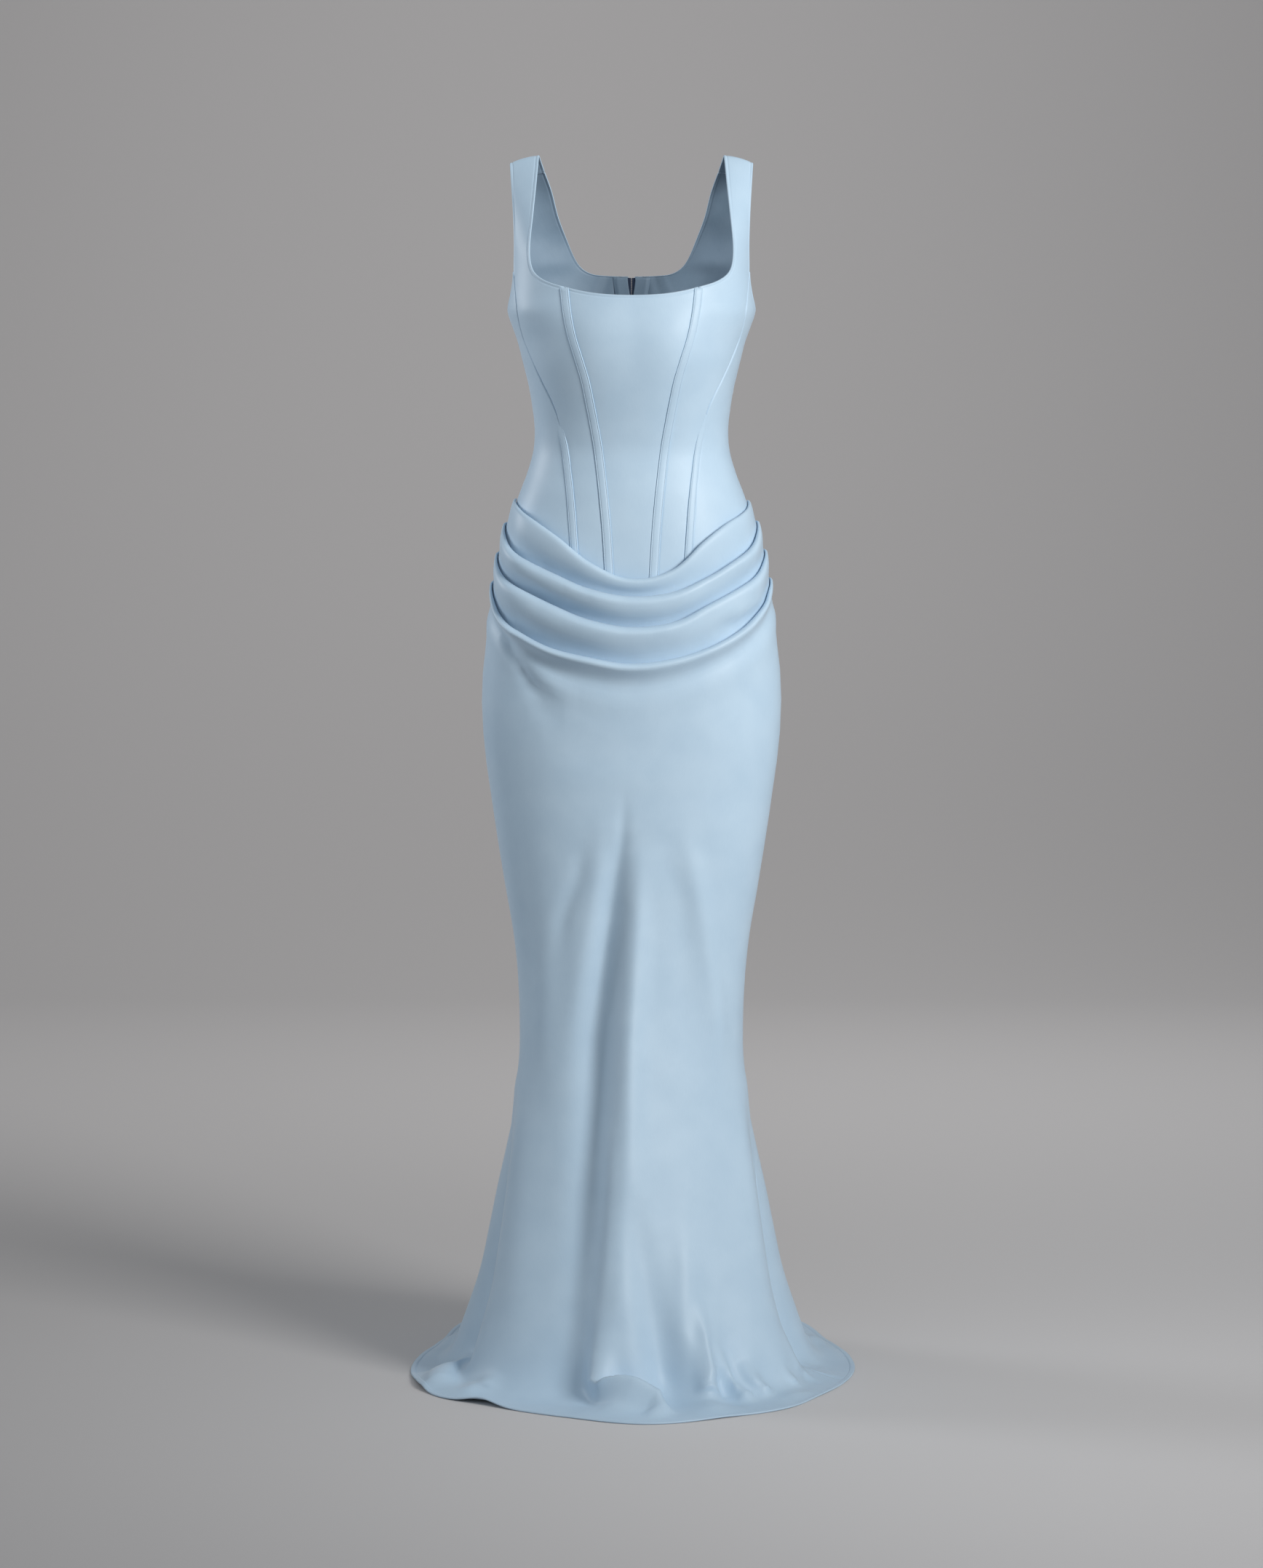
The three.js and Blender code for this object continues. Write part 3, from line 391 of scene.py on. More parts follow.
def woven_cloth(name, light, dark, thread_mm, thread_height, wave_mm, wave_height, shader):
    """Woven cloth: slow and fine patterns in its colour and its bump, on its own thread directions."""
    material, tree = empty_material(name)
    place = add_node(tree, "ShaderNodeTexCoord", {}, {})
    slow = pattern(tree, place.outputs["Object"], 1000 / wave_mm, 2.0, 0.45)
    warp = add_node(tree, "ShaderNodeMapping", {}, {
        "Vector": place.outputs["UV"], "Scale": (1000 / thread_mm, 1000 / thread_mm / FLOAT_LENGTH, 1.0)})
    thread = pattern(tree, warp.outputs["Vector"], 1.0, 1.0)
    both = add_node(tree, "ShaderNodeMix", {"data_type": "FLOAT"}, {
        "Factor": 0.3, "A": slow.outputs["Fac"], "B": thread.outputs["Fac"]})
    colour = two_shades(tree, both.outputs["Result"], dark, light, 0.35, 0.65)
    swell = add_node(tree, "ShaderNodeBump", {}, {
        "Height": slow.outputs["Fac"], "Strength": 1.0, "Distance": wave_height / 1000})
    relief = add_node(tree, "ShaderNodeBump", {}, {
        "Height": thread.outputs["Fac"], "Strength": 1.0, "Distance": thread_height / 1000,
        "Normal": swell.outputs["Normal"]})
    show_surface(tree, {
        "Base Color": colour.outputs["Color"], "Normal": relief.outputs["Normal"], **shader})
    return material


print("threads to a float:", FLOAT_LENGTH)

# %% The cloths and the thread
# Duchess satin, polyester, warp-faced and calendered: a broad sheen and clean mid tones.
SATIN = woven_cloth("duchess_satin", "#BDD5E8", "#B7D0E4", 0.8, 0.02, 38, 0.35, {
    "Roughness": 0.46, "IOR": 1.5, "Specular IOR Level": 0.36, "Sheen Weight": 0.18, "Sheen Roughness": 0.4})
# The facing and lining are the same weave seen from its dull weft side, so softer in gloss; their colour is
# painted shade, darker and greyer than the satin, for the inside where light hardly reaches.
LINING_IN_PAINTED_SHADE = woven_cloth("satin_lining_painted_shade", "#869CB0", "#7D94A8", 0.8, 0.03, 30, 0.3, {
    "Roughness": 0.55, "IOR": 1.5, "Specular IOR Level": 0.35, "Sheen Weight": 0.1, "Sheen Roughness": 0.5})
# Zip tape is a dense herringbone of spun polyester: matt, with a coarse cross thread.
TAPE = woven_cloth("zip_tape_polyester", "#33435C", "#27344A", 0.6, 0.06, 6, 0.05, {
    "Roughness": 0.85, "IOR": 1.5, "Specular IOR Level": 0.25, "Sheen Weight": 0.2, "Sheen Roughness": 0.6})
# Topstitching thread is a glossy trilobal polyester one shade lighter than the cloth.
THREAD = woven_cloth("polyester_thread", "#C6DAEA", "#B4CBDF", 0.4, 0.04, 5, 0.02, {
    "Roughness": 0.4, "IOR": 1.5, "Specular IOR Level": 0.5})
print("materials:", [m.name for m in (SATIN, LINING_IN_PAINTED_SHADE, TAPE, THREAD)])

# %% [markdown]
# ## The corset's seams
#
# The seams of a corset are its drawing. Each is a line from a small table, and each panel is a surface
# of two shares: across from one seam to the next, and up from the corset's lower edge to the neckline,
# the armhole or, past one, along the strap.

# %% Seam tables
BODICE_SEAMS = table(
    "height princess outer",
    (920, 24, 61), (954, 25.8, 63.2), (1001, 28.7, 66.5), (1036, 31.8, 69.1), (1069, 35.3, 72.6),
    (1099, 39, 76.6), (1125, 43.5, 83.5), (1148, 47.9, 91.6), (1174, 53.3, 104.5), (1200, 61, 116.5),
    (1226, 68.9, 126.5), (1252, 74.1, 132.3), (1281, 77.2, 135.6), (1305, 78.6, 138.2),
)
BACK_SEAM = table(
    "height across",
    (1015, 66), (1068, 62.5), (1120, 64), (1170, 76), (1210, 91), (1250, 108), (1280, 122), (1306, 130.5),
)
CORSET_HEM = table(
    "turn height",
    (0, 926), (15, 937), (30, 965), (45, 986), (60, 997), (75, 1005), (90, 1012),
)
FRONT_NECK = table(
    "step across height",
    (0, 77.5, 1281), (1, 90, 1284.5), (2, 101, 1289), (3, 109.5, 1294.5), (4, 115, 1300.5), (5, 117.3, 1307),
)
BACK_NECK = table(
    "step across height",
    (0, 4, 1301.3), (1, 20, 1301.5), (2, 34, 1302.2), (3, 45, 1303.2), (4, 55, 1306.2), (5, 62.5, 1312),
)
STRAP = table(
    "step innerX innerY innerZ outerX outerY outerZ",
    (0, 117.3, -69.6, 1307, 138, -31, 1303), (1, 119, -65, 1325, 136.4, -36, 1324),
    (2, 115.2, -49, 1364, 137.6, -27.5, 1361), (3, 111.5, -26, 1404, 139.8, -14, 1398),
    (4, 109.3, -9, 1430, 141.2, -5, 1421.5), (5, 108.4, 0, 1438, 141.8, 1, 1429),
    (6, 106.6, 9, 1433, 140.8, 8, 1424), (7, 102.4, 22, 1421, 137.8, 19, 1413.5),
    (8, 94.5, 45, 1399, 131, 38, 1393), (9, 87.5, 62, 1371, 126.5, 50, 1366),
    (10, 78.7, 78, 1347, 125.5, 54.5, 1343), (11, 70, 87, 1325, 127.5, 51, 1322),
    (12, 62.5, 91.2, 1312, 130, 46, 1305),
)
# Steps of the strap at the shoulder seam and at the back neckline, and how far its middle is rounded.
SHOULDER_SEAM, STRAP_END, STRAP_CROWN = 7, 12, 1.8
# The strap is rounded away from this point, and less sideways than forwards.
STRAP_HEART, STRAP_LEAN = [0, 0, 1330], [0.4, 1, 0.6]
# Heights of the neckline, of the underarm and of the armholes' tops, and the curve of the armholes.
NECKLINE_CENTRE, NECKLINE_RISE, UNDERARM = 1271, 10, 1257
ARMHOLE_FRONT, ARMHOLE_BACK, BACK_NECK_HEIGHT, ARMHOLE_CURVE = 1303, 1305, 1301.3, 1.6
# Turns at which the princess and the outer seam reach the corset's lower edge.
PRINCESS_FOOT, OUTER_FOOT = 7.4, 20.5
WAIST_SEAM_SIDE, WAIST_SEAM_BACK = 1035, 1020
# The zip's slider and lower end, and half its gap where it is shut and at the top.
SLIDER_HEIGHT, ZIP_END, ZIP_SHUT, ZIP_OPEN = 1268, 880, 0.4, 4
# Share of a panel's rows that lie on its seam, under the curve of the neckline, and that curve's steps.
SEAM_SHARE, NECK_STEPS = 12 / 17, 5
BODICE_CLOTH = 1.6
SIDES = ((1, "_left"), (-1, "_right"))
print("places of the front seams:", len(BODICE_SEAMS["height"]), "and of the strap:", len(STRAP["step"]))


# %% Heights and turns of the seams
def corset_hem(turn):
    """Height of the corset's lower edge at a turn."""
    return value_at(CORSET_HEM, "turn", "height", turn)


def princess_height(share):
    """Height at a share of the way up the princess seam."""
    return mix(corset_hem(PRINCESS_FOOT), NECKLINE_CENTRE + NECKLINE_RISE, share)


def princess_turn(height):
    """Turn of the princess seam at a height."""
    return front_turn(value_at(BODICE_SEAMS, "height", "princess", height), height)


def outer_turn(height):
    """Turn of the outer seam at a height."""
    return front_turn(value_at(BODICE_SEAMS, "height", "outer", height), height)


def back_seam_turn(height):
    """Turn of the back seam at a height, counted from the front as every turn is."""
    return 180 - front_turn(value_at(BACK_SEAM, "height", "across", height), height)


def waist_seam(turn):
    """Height of the seam between bodice back and skirt back: lower at the centre than at the side."""
    return mix(WAIST_SEAM_BACK, WAIST_SEAM_SIDE, (180 - turn) / 90)


# The back seam meets the waist seam about 4 mm higher than the centre back does.
BACK_SEAM_FOOT = back_seam_turn(WAIST_SEAM_BACK + 4.0)
print("turn of the back seam at its foot:", round(float(BACK_SEAM_FOOT), 1), "degrees")

# %% [markdown]
# ## Panels as surfaces
#
# A pattern cutter draws a flat shape for each panel. Here a panel is a function of two shares: v goes
# across from one seam to the next, and r goes up. Arrays of v and r give a whole grid of points at
# once, with no loop over them. Two neighbours read the same seam function, so their edges meet.

# %% Front panels
def centre_front(v, r):
    """Between the princess seams: v from -1 to 1 across, r from 0 to 1 up."""
    height = mix(corset_hem(np.abs(v) * PRINCESS_FOOT), NECKLINE_CENTRE + NECKLINE_RISE * v * v, r)
    return ring_point(princess_turn(height) * v, height)


def strap_point(v, step):
    """Straight across between the strap's two edges, rounded out a little in the middle."""
    edge = lambda name: np.stack([value_at(STRAP, "step", name + axis, step) for axis in "XYZ"], axis=-1)
    point = mix(edge("inner"), edge("outer"), v[..., None])
    away = unit((point - STRAP_HEART) * STRAP_LEAN)
    return point + away * (STRAP_CROWN * 4 * v * (1 - v))[..., None]


def side_front(v, r):
    """From the princess seam and neckline to the outer seam; past r = 1 it is the front strap."""
    body = np.minimum(r, 1)
    step = (body - SEAM_SHARE) / (1 - SEAM_SHARE) * NECK_STEPS
    on_seam = body <= SEAM_SHARE
    height = princess_height(body / SEAM_SHARE)
    inner_height = np.where(on_seam, height, value_at(FRONT_NECK, "step", "height", step))
    neck_turn = front_turn(value_at(FRONT_NECK, "step", "across", step), inner_height)
    inner_turn = np.where(on_seam, princess_turn(height), neck_turn)
    outer_height = mix(corset_hem(OUTER_FOOT), ARMHOLE_FRONT, body)
    panel = ring_point(mix(inner_turn, outer_turn(outer_height), v), mix(inner_height, outer_height, v))
    strap = strap_point(v, np.maximum(r - 1, 0) * SHOULDER_SEAM)
    return np.where((r > 1)[..., None], strap, panel)


def side_panel(v, r):
    """From the outer seam to the side seam, cut out at the top for the arm."""
    top = UNDERARM + (ARMHOLE_FRONT - UNDERARM) * np.abs(1 - v) ** ARMHOLE_CURVE
    height = mix(corset_hem(mix(OUTER_FOOT, 90, v)), top, r)
    return ring_point(mix(outer_turn(height), 90, v), height)


neck = centre_front(np.zeros((1, 1)), np.ones((1, 1)))[0, 0]
print("centre of the neckline:", neck.round(1), "mm")


# %% Back panels
def side_back(v, r):
    """From the side seam to the back seam, cut out at the top for the arm."""
    top = UNDERARM + (ARMHOLE_BACK - UNDERARM) * np.abs(v) ** ARMHOLE_CURVE
    height = mix(waist_seam(mix(90, BACK_SEAM_FOOT, v)), top, r)
    return ring_point(mix(90, back_seam_turn(height), v), height)


def zip_gap(height, widest):
    """Half the opening between the zip's edges: shut under the slider, a narrow V over it."""
    return mix(ZIP_SHUT, widest, ease(height, SLIDER_HEIGHT, BACK_NECK_HEIGHT))


def back(v, r):
    """From the zip and the back neckline to the back seam; past r = 1 it is the back strap."""
    body = np.minimum(r, 1)
    step = (body - SEAM_SHARE) / (1 - SEAM_SHARE) * NECK_STEPS
    on_zip = body <= SEAM_SHARE
    zip_height = mix(waist_seam(180), BACK_NECK_HEIGHT, body / SEAM_SHARE)
    inner_height = np.where(on_zip, zip_height, value_at(BACK_NECK, "step", "height", step))
    across = np.where(on_zip, zip_gap(inner_height, ZIP_OPEN), value_at(BACK_NECK, "step", "across", step))
    inner_turn = 180 - front_turn(across, inner_height)
    outer_height = mix(waist_seam(BACK_SEAM_FOOT), ARMHOLE_BACK, body)
    panel = ring_point(mix(inner_turn, back_seam_turn(outer_height), v), mix(inner_height, outer_height, v))
    strap = strap_point(v, STRAP_END - np.maximum(r - 1, 0) * (STRAP_END - SHOULDER_SEAM))
    return np.where((r > 1)[..., None], strap, panel)


print("half the zip's gap at its top:", float(zip_gap(BACK_NECK_HEIGHT, ZIP_OPEN)), "mm")

# %% [markdown]
# ## How a sewn edge looks
#
# A seam pulls its two edges down into a fine valley, and the thread gathers the cloth beside it into
# tiny uneven puckers. A free edge is turned over a facing and stays round. The puckers are sums of a
# few waves of unlike lengths, so no two seams repeat.

# %% Waves of chance
CHANCE = np.random.default_rng(7)


def crowded(count, tightness=0.82, start=0.0, end=1.0):
    """Shares from start to end that crowd towards both ends."""
    t = np.linspace(0, 1, count)
    return mix(start, end, t - tightness * np.sin(2 * np.pi * t) / (2 * np.pi))


def ripple(length, wavelengths):
    """Uneven wave along a length: sines of several wavelengths with chance phases."""
    phases = CHANCE.uniform(0, 2 * np.pi, len(wavelengths))
    waves = [np.sin(2 * np.pi * length / w + p) for w, p in zip(wavelengths, phases)]
    return sum(waves) / len(wavelengths)


def undulation(points, size):
    """Slow swell over a surface: sines in chance directions, about one size from crest to crest."""
    total = np.zeros(points.shape[:-1])
    for _ in range(7):
        direction = unit(CHANCE.normal(size=3) * [1, 1, 0.55])
        wave = size * CHANCE.uniform(0.7, 1.6)
        total += np.sin(2 * np.pi * points @ direction / wave + CHANCE.uniform(0, 2 * np.pi))
    return total / 7


print("five shares that crowd to the ends:", crowded(5).round(3))


# %% Sewn edges
def edge_distances(grid):
    """Distance from each point to the first and last column and to the first and last row."""
    u, v = grid_lengths(grid)
    return u, u[:, -1:] - u, v, v[-1:] - v


def sewn(grid, seams, valley, reach, pucker):
    """Grid moved along its normals: a valley at each seam, and puckers beside it.

    seams gives, for the first and last column and the first and last row, a strength from 0 to 1,
    as a number or an array of the grid's shape.
    """
    lift = np.zeros(grid.shape[:2])
    u, v = grid_lengths(grid)
    for side, distance in enumerate(edge_distances(grid)):
        strength = seams[side]
        along = v if side < 2 else u
        lift = lift - strength * valley * np.exp(-((distance / reach) ** 2))
        lift = lift + strength * pucker * np.exp(-distance / 7) * ripple(along, [7.3, 9.7, 13.1, 19.9])
    return grid + grid_normals(grid) * lift[..., None]


def pressed_beside(grid, lines, valley=0.8, reach=0.8):
    """Grid pressed in along lines that run beside its edges; a line is its side, distance and strength."""
    distances = edge_distances(grid)
    lift = sum(-strength * valley * np.exp(-(((distances[side] - away) / reach) ** 2))
               for side, away, strength in lines)
    return grid + grid_normals(grid) * lift[..., None]


def pinched(grid, free, thickness, stitched=2.8):
    """Thickness that swells at each free edge and drops at the row of stitches a little inside it."""
    total = np.full(grid.shape[:2], thickness)
    for distance, strength in zip(edge_distances(grid), free):
        groove = 0.85 * np.exp(-(((distance - stitched) / 0.65) ** 2))
        total = total + strength * (0.45 * np.exp(-((distance / 1.4) ** 2)) - groove)
    return total


def smoothed_rows(grid, row, reach, rounds):
    """Rows near one row averaged with their neighbours, to run two surfaces into one."""
    weight = bell(np.arange(len(grid)) - row, reach)[:, None, None] * 0.5
    for _ in range(rounds):
        middle = (np.roll(grid, 1, axis=0) + np.roll(grid, -1, axis=0)) / 2
        middle[0], middle[-1] = grid[0], grid[-1]
        grid = mix(grid, middle, weight)
    return grid


print("a valley of depth 1 is", round(float(np.exp(-1)), 2), "deep at its reach")

# %% [markdown]
# ## The corset panels
#
# Nine panels, each a shell of its own on the form of its CAD wall. The panels meet at their seams, so
# the thin dark line between them is a real valley. On the straps the same sheet runs on over the
# shoulder to the shoulder seam.

# %% Rows of the panels, and the facing's creases
BODY_SHARES = np.linspace(0, 1, 110)
STRAP_SHARES = np.linspace(1, 2, 70)[1:]
PLAIN_SHARES = crowded(110, 0.86)
# Small creases of the facing beside the zip: distance from it, lean, height of the crease.
FACING_CREASES = table(
    "across lean lift",
    (8, 0.08, -0.7), (13, 0.16, 0.8), (20, 0.2, -0.7), (28, 0.3, 0.6), (38, 0.4, -0.4),
)


def panel_grid(surface, columns, rows, side):
    """Surface on a grid, mirrored for the -X side, and pulled in by half the cloth's thickness."""
    v, r = np.meshgrid(columns, rows)
    grid = surface(v, r)
    if rows[-1] > 1:
        grid = smoothed_rows(grid, len(BODY_SHARES) - 1, reach=9, rounds=60)
    grid = grid * [side, 1, 1]
    return grid - outward(grid) * BODICE_CLOTH / 2


def on_body(rows, columns, until):
    """One on the rows below a share, fading to zero past it, for each column."""
    return np.repeat((1 - ease(rows, until - 0.01, until + 0.02))[:, None], columns, axis=1)


def facing_creases(grid):
    """Back panel with the small upright creases that its facing makes beside the zip, under the neckline."""
    across, height = np.abs(grid[..., 0]), grid[..., 2]
    lift = sum(row["lift"] * bell(across - row["across"] - row["lean"] * (BACK_NECK_HEIGHT - height), 2.2)
               for row in rows_of(FACING_CREASES))
    lift = lift * ease(height, 1250, 1285) * ease(1330 - height, 0, 20)
    wrinkles = 1.3 * undulation(grid, 36) * ease(height, 1306, 1330)
    return grid + outward(grid) * (lift + wrinkles)[..., None]


print("rows on the body:", len(BODY_SHARES), "and on the strap:", len(STRAP_SHARES))

# %% Sewing a panel
# Depth of the slow swell of a panel, and its length from crest to crest.
PANEL_SWELL, PANEL_WAVE = 0.35, 70


def reversed_columns(strength):
    """A strength with its columns in reverse, where it is an array."""
    return strength[:, ::-1] if isinstance(strength, np.ndarray) else strength


def panel_piece(kind, suffix, grid, seams, free, lines):
    """Sewn grid as a lined shell that replaces its CAD node.

    free is the strength of each edge that is turned over a facing, in the order of the seams.
    """
    if is_turned(grid):
        grid = grid[:, ::-1]
        seams, free = ([reversed_columns(sides[k]) for k in (1, 0, 2, 3)] for sides in (seams, free))
        lines = [(1 - side, away, reversed_columns(strength)) for side, away, strength in lines]
    grid = grid + grid_normals(grid) * (PANEL_SWELL * undulation(grid, PANEL_WAVE))[..., None]
    grid = sewn(grid, seams, valley=2.3, reach=1.1, pucker=0.22)
    if lines:
        grid = pressed_beside(grid, lines)
    thickness = pinched(grid, free, BODICE_CLOTH - 0.1)
    # The inside of the shell wears the lining, whose darker colour is painted shade.
    piece = cloth_shell(f"{kind}_satin{suffix}", grid, thickness, [SATIN, LINING_IN_PAINTED_SHADE])
    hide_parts(kind + suffix)
    return piece


print("cloth of the bodice:", BODICE_CLOTH, "mm thick")

# %% Nine panels
# Distance from a seam to the edge of its channel: at the princess seam, and before and behind the outer one.
CHANNEL_EDGE, OUTER_EDGE_FRONT, OUTER_EDGE_BACK = 5.9, 4.2, 7.3
rows, columns = np.concatenate([BODY_SHARES, STRAP_SHARES]), crowded(51, 0.84)
# Strengths that end with the seam at the neckline, with the armhole, and with the outer channel.
below_neck, below_arm = on_body(rows, 51, SEAM_SHARE), on_body(rows, 51, 0.98)
boned_front, boned_side = on_body(rows, 51, 0.38), on_body(PLAIN_SHARES, 51, 0.45)
corset = [panel_piece(
    "centre_front", "", panel_grid(centre_front, crowded(71, 0.84, -1, 1), PLAIN_SHARES, 1),
    [1, 1, 0, 0], [0, 0, 0, 1], [(0, CHANNEL_EDGE, 1), (1, CHANNEL_EDGE, 1)])]
for side, suffix in SIDES:
    corset.append(panel_piece(
        "side_front", suffix, panel_grid(side_front, columns, rows, side),
        [below_neck, below_arm, 0, 0.6], [1 - below_neck, 1 - below_arm, 0, 0],
        [(0, CHANNEL_EDGE, below_neck), (1, OUTER_EDGE_FRONT, boned_front)]))
    corset.append(panel_piece(
        "side_panel", suffix, panel_grid(side_panel, columns, PLAIN_SHARES, side),
        [1, 1, 0, 0], [0, 0, 0, 1], [(0, OUTER_EDGE_BACK, boned_side)]))
    corset.append(panel_piece(
        "side_back", suffix, panel_grid(side_back, columns, PLAIN_SHARES, side),
        [1, 1, 0.8, 0], [0, 0, 0, 1], []))
    corset.append(panel_piece(
        "back", suffix, facing_creases(panel_grid(back, columns, rows, side)),
        [0, below_arm, 0.8, 0.6], [1 - below_neck, 1 - below_arm, 0, 0], []))
print("corset panels:", [piece.name for piece in corset])

# %% [markdown]
# ## The boning channels
#
# A flat steel bone sits in a folded strip sewn on along both edges. In section the strip rises
# steeply from the cloth, dips where the needle went through, and rounds over the bone between.

# %% Section and paths of the channels
# Width of a channel, and how far before the outer seam its channel begins.
CHANNEL_WIDTH, CHANNEL_SETBACK = 10.4, -3.7
CHANNEL_SECTION = table(
    "across lift",
    (-1, -0.8), (-0.985, 0.3), (-0.95, 0.95), (-0.88, 1.08), (-0.8, 0.98), (-0.73, 0.6), (-0.66, 0.98),
    (-0.5, 1.16), (-0.25, 1.22), (0, 1.24), (0.25, 1.22), (0.5, 1.16), (0.66, 0.98), (0.73, 0.6), (0.8, 0.98),
    (0.88, 1.08), (0.95, 0.95), (0.985, 0.3), (1, -0.8),
)


def princess_channel(v, r):
    """Strip centred on the princess seam."""
    height = princess_height(r)
    return ring_point(shifted_turn(princess_turn(height), height, v * CHANNEL_WIDTH / 2), height)


def outer_channel(v, r):
    """Strip over the outer seam, a little more behind it than in front, on the side panel's rows."""
    share = 0.2
    width = np.linalg.norm(side_panel(share + 0 * r, r) - side_panel(0 * r, r), axis=-1) / share
    return side_panel((CHANNEL_SETBACK + (v + 1) * CHANNEL_WIDTH / 2) / width, r)


print("places of a channel's section:", len(CHANNEL_SECTION["across"]))

# %% Sewing a channel
# Length over which a channel's foot closes, how deep its ends sink, and how deep its floor lies.
CHANNEL_CLOSE, CHANNEL_SUNK, CHANNEL_FLOOR = 1.6, -0.7, 0.9


def channel_grid(surface, rows, side, fade):
    """Channel surface with its section's lift; its foot is closed off short, its top over a fade."""
    v, r = np.meshgrid(CHANNEL_SECTION["across"], rows)
    base = surface(v, r) * [side, 1, 1]
    if is_turned(base):
        base = base[:, ::-1]
    length = grid_lengths(base)[1]
    close = ease(length, 0, CHANNEL_CLOSE) * ease(length[-1:] - length, 0, fade)
    wobble = 0.06 * ripple(length, [3.1, 4.3, 6.7])
    lift = mix(CHANNEL_SUNK, CHANNEL_SECTION["lift"][None, :] + wobble, close)
    return base, base + grid_normals(base) * lift[..., None]


def channel_piece(name, surface, rows, side, fade):
    """Closed strip with a floor sunk in the cloth below; gives back the grid of its top."""
    base, top = channel_grid(surface, rows, side, fade)
    floor = base - grid_normals(base) * CHANNEL_FLOOR
    shape = top.shape[:2]
    count = shape[0] * shape[1]
    ring, _ = rim_of(*shape)
    after = np.roll(ring, -1)
    wall = np.stack([ring, count + ring, count + after, after], axis=-1)
    faces = np.concatenate([quads_of(*shape), quads_of(*shape, count)[:, ::-1], wall])
    points = np.concatenate([top.reshape(-1, 3), floor.reshape(-1, 3)])
    piece = make_mesh(f"{name}_satin", points, faces, [SATIN], np.tile(cloth_uv(base), (2, 1)))
    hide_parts(name)
    return top


channel_tops = {}
for side, suffix in SIDES:
    for kind, surface, rows, fade in (
            ("princess", princess_channel, np.linspace(0.03, 0.999, 150), 1.6),
            ("outer", outer_channel, np.linspace(0.06, 0.53, 80), 42)):
        name = f"{kind}_channel{suffix}"
        channel_tops[name] = channel_piece(name, surface, rows, side, fade)
print("channels:", list(channel_tops))

# %% [markdown]
# ## The skirt's folds
#
# Cloth that hangs from the hips to the floor makes a few long upright folds, and each has its own
# drift and depth, so they are written down one by one. A fold pushes the cloth level, out or in, by a
# bell across the turn. Finer creases are laid over them along paths with their own depth and width.

# %% Upright folds and floor rises
SKIRT_FOLDS = table(
    "top end high knee low spread depth rise",
    (648, -80, -4.5, -16, -17.5, 6.2, -14, 0.5), (575, -80, -14, -27, -26, 8, -6, 0.8),
    (640, -80, 3, -2, -8, 6, 9, 0.5),
    (625, 330, 26, 46, 52, 6, 7, 0.6), (640, 360, -22, -40, -45, 6, -5, 0.6),
    (780, 330, -46, -66, -70, 9, -5, 0.6), (190, -80, 9, 9, 13, 5, -8, 0.7),
    (260, -80, 22, 22, 19, 4.5, 7, 1), (345, -80, -83, -83, -81, 10.5, -50, 1),
    (345, -80, 83, 83, 81, 10.5, -50, 1), (400, -80, 137, 137, 134, 9, -18, 0.8),
    (380, -80, -139, -139, -136, 10, -20, 0.8), (470, -80, 160, 160, 158, 8, 9, 0.8),
    (450, -80, -158, -158, -157, 8, 8, 0.8), (520, -80, 180, 180, 180, 7, -10, 0.7),
)
FLOOR_RISES = table(
    "turn out rise turnSpread outSpread",
    (-3, 16, 15, 5, 16), (-39, 78, 7, 4.5, 16), (-60, 28, 9, 9, 18), (20, 28, 8, 3.5, 22),
    (48, 30, 6, 5, 16), (113, 30, 8, 8, 24), (-115, 28, 7, 8, 24), (158, 40, 12, 9, 26),
    (-156, 44, 12, 9, 26),
)
KNEE_HEIGHT = 423
# Height at which a fold is fully grown, and the length over which one that ends early fades.
FOLD_FULL, FOLD_FADE = 60, 120
print("upright folds:", len(SKIRT_FOLDS["top"]), "and rises on the floor:", len(FLOOR_RISES["turn"]))


# %% How the folds push the cloth
def fold_push(turn, at):
    """Sum of the folds' bells; each grows below its top, drifts in turn and fades at its end."""
    push = np.zeros(np.broadcast(turn, at).shape)
    for fold in rows_of(SKIRT_FOLDS):
        grown = np.clip((fold["top"] - at) / (fold["top"] - FOLD_FULL), 0, 1) ** fold["rise"]
        ends_early = fold["end"] > 0
        ending = ease(at, fold["end"], fold["end"] + FOLD_FADE) if ends_early else ease(at, -HEM_LENGTH, 30)
        upper = mix(fold["knee"], fold["high"], (at - KNEE_HEIGHT) / (fold["top"] - KNEE_HEIGHT))
        lower = mix(fold["low"], fold["knee"], np.maximum(at, 0) / KNEE_HEIGHT)
        lean = np.where(at > KNEE_HEIGHT, upper, lower)
        apart = (turn - lean + 180) % 360 - 180
        push += fold["depth"] * grown * ending * bell(apart, fold["spread"])
    return push


def floor_rise(turn, at):
    """How high the cloth on the floor is lifted: bells in turn and in the length past the floor ring."""
    lift = np.zeros(np.broadcast(turn, at).shape)
    for rise in rows_of(FLOOR_RISES):
        apart = (turn - rise["turn"] + 180) % 360 - 180
        lift += rise["rise"] * bell(apart, rise["turnSpread"]) * bell(-at - rise["out"], rise["outSpread"])
    return lift * ease(60 - at, 0, 40)


ankle = fold_push(np.linspace(-180, 180, 361), np.full(361, 60.0))
print("the folds push the cloth by", ankle.min().round(1), "to", ankle.max().round(1), "mm at the ankle")

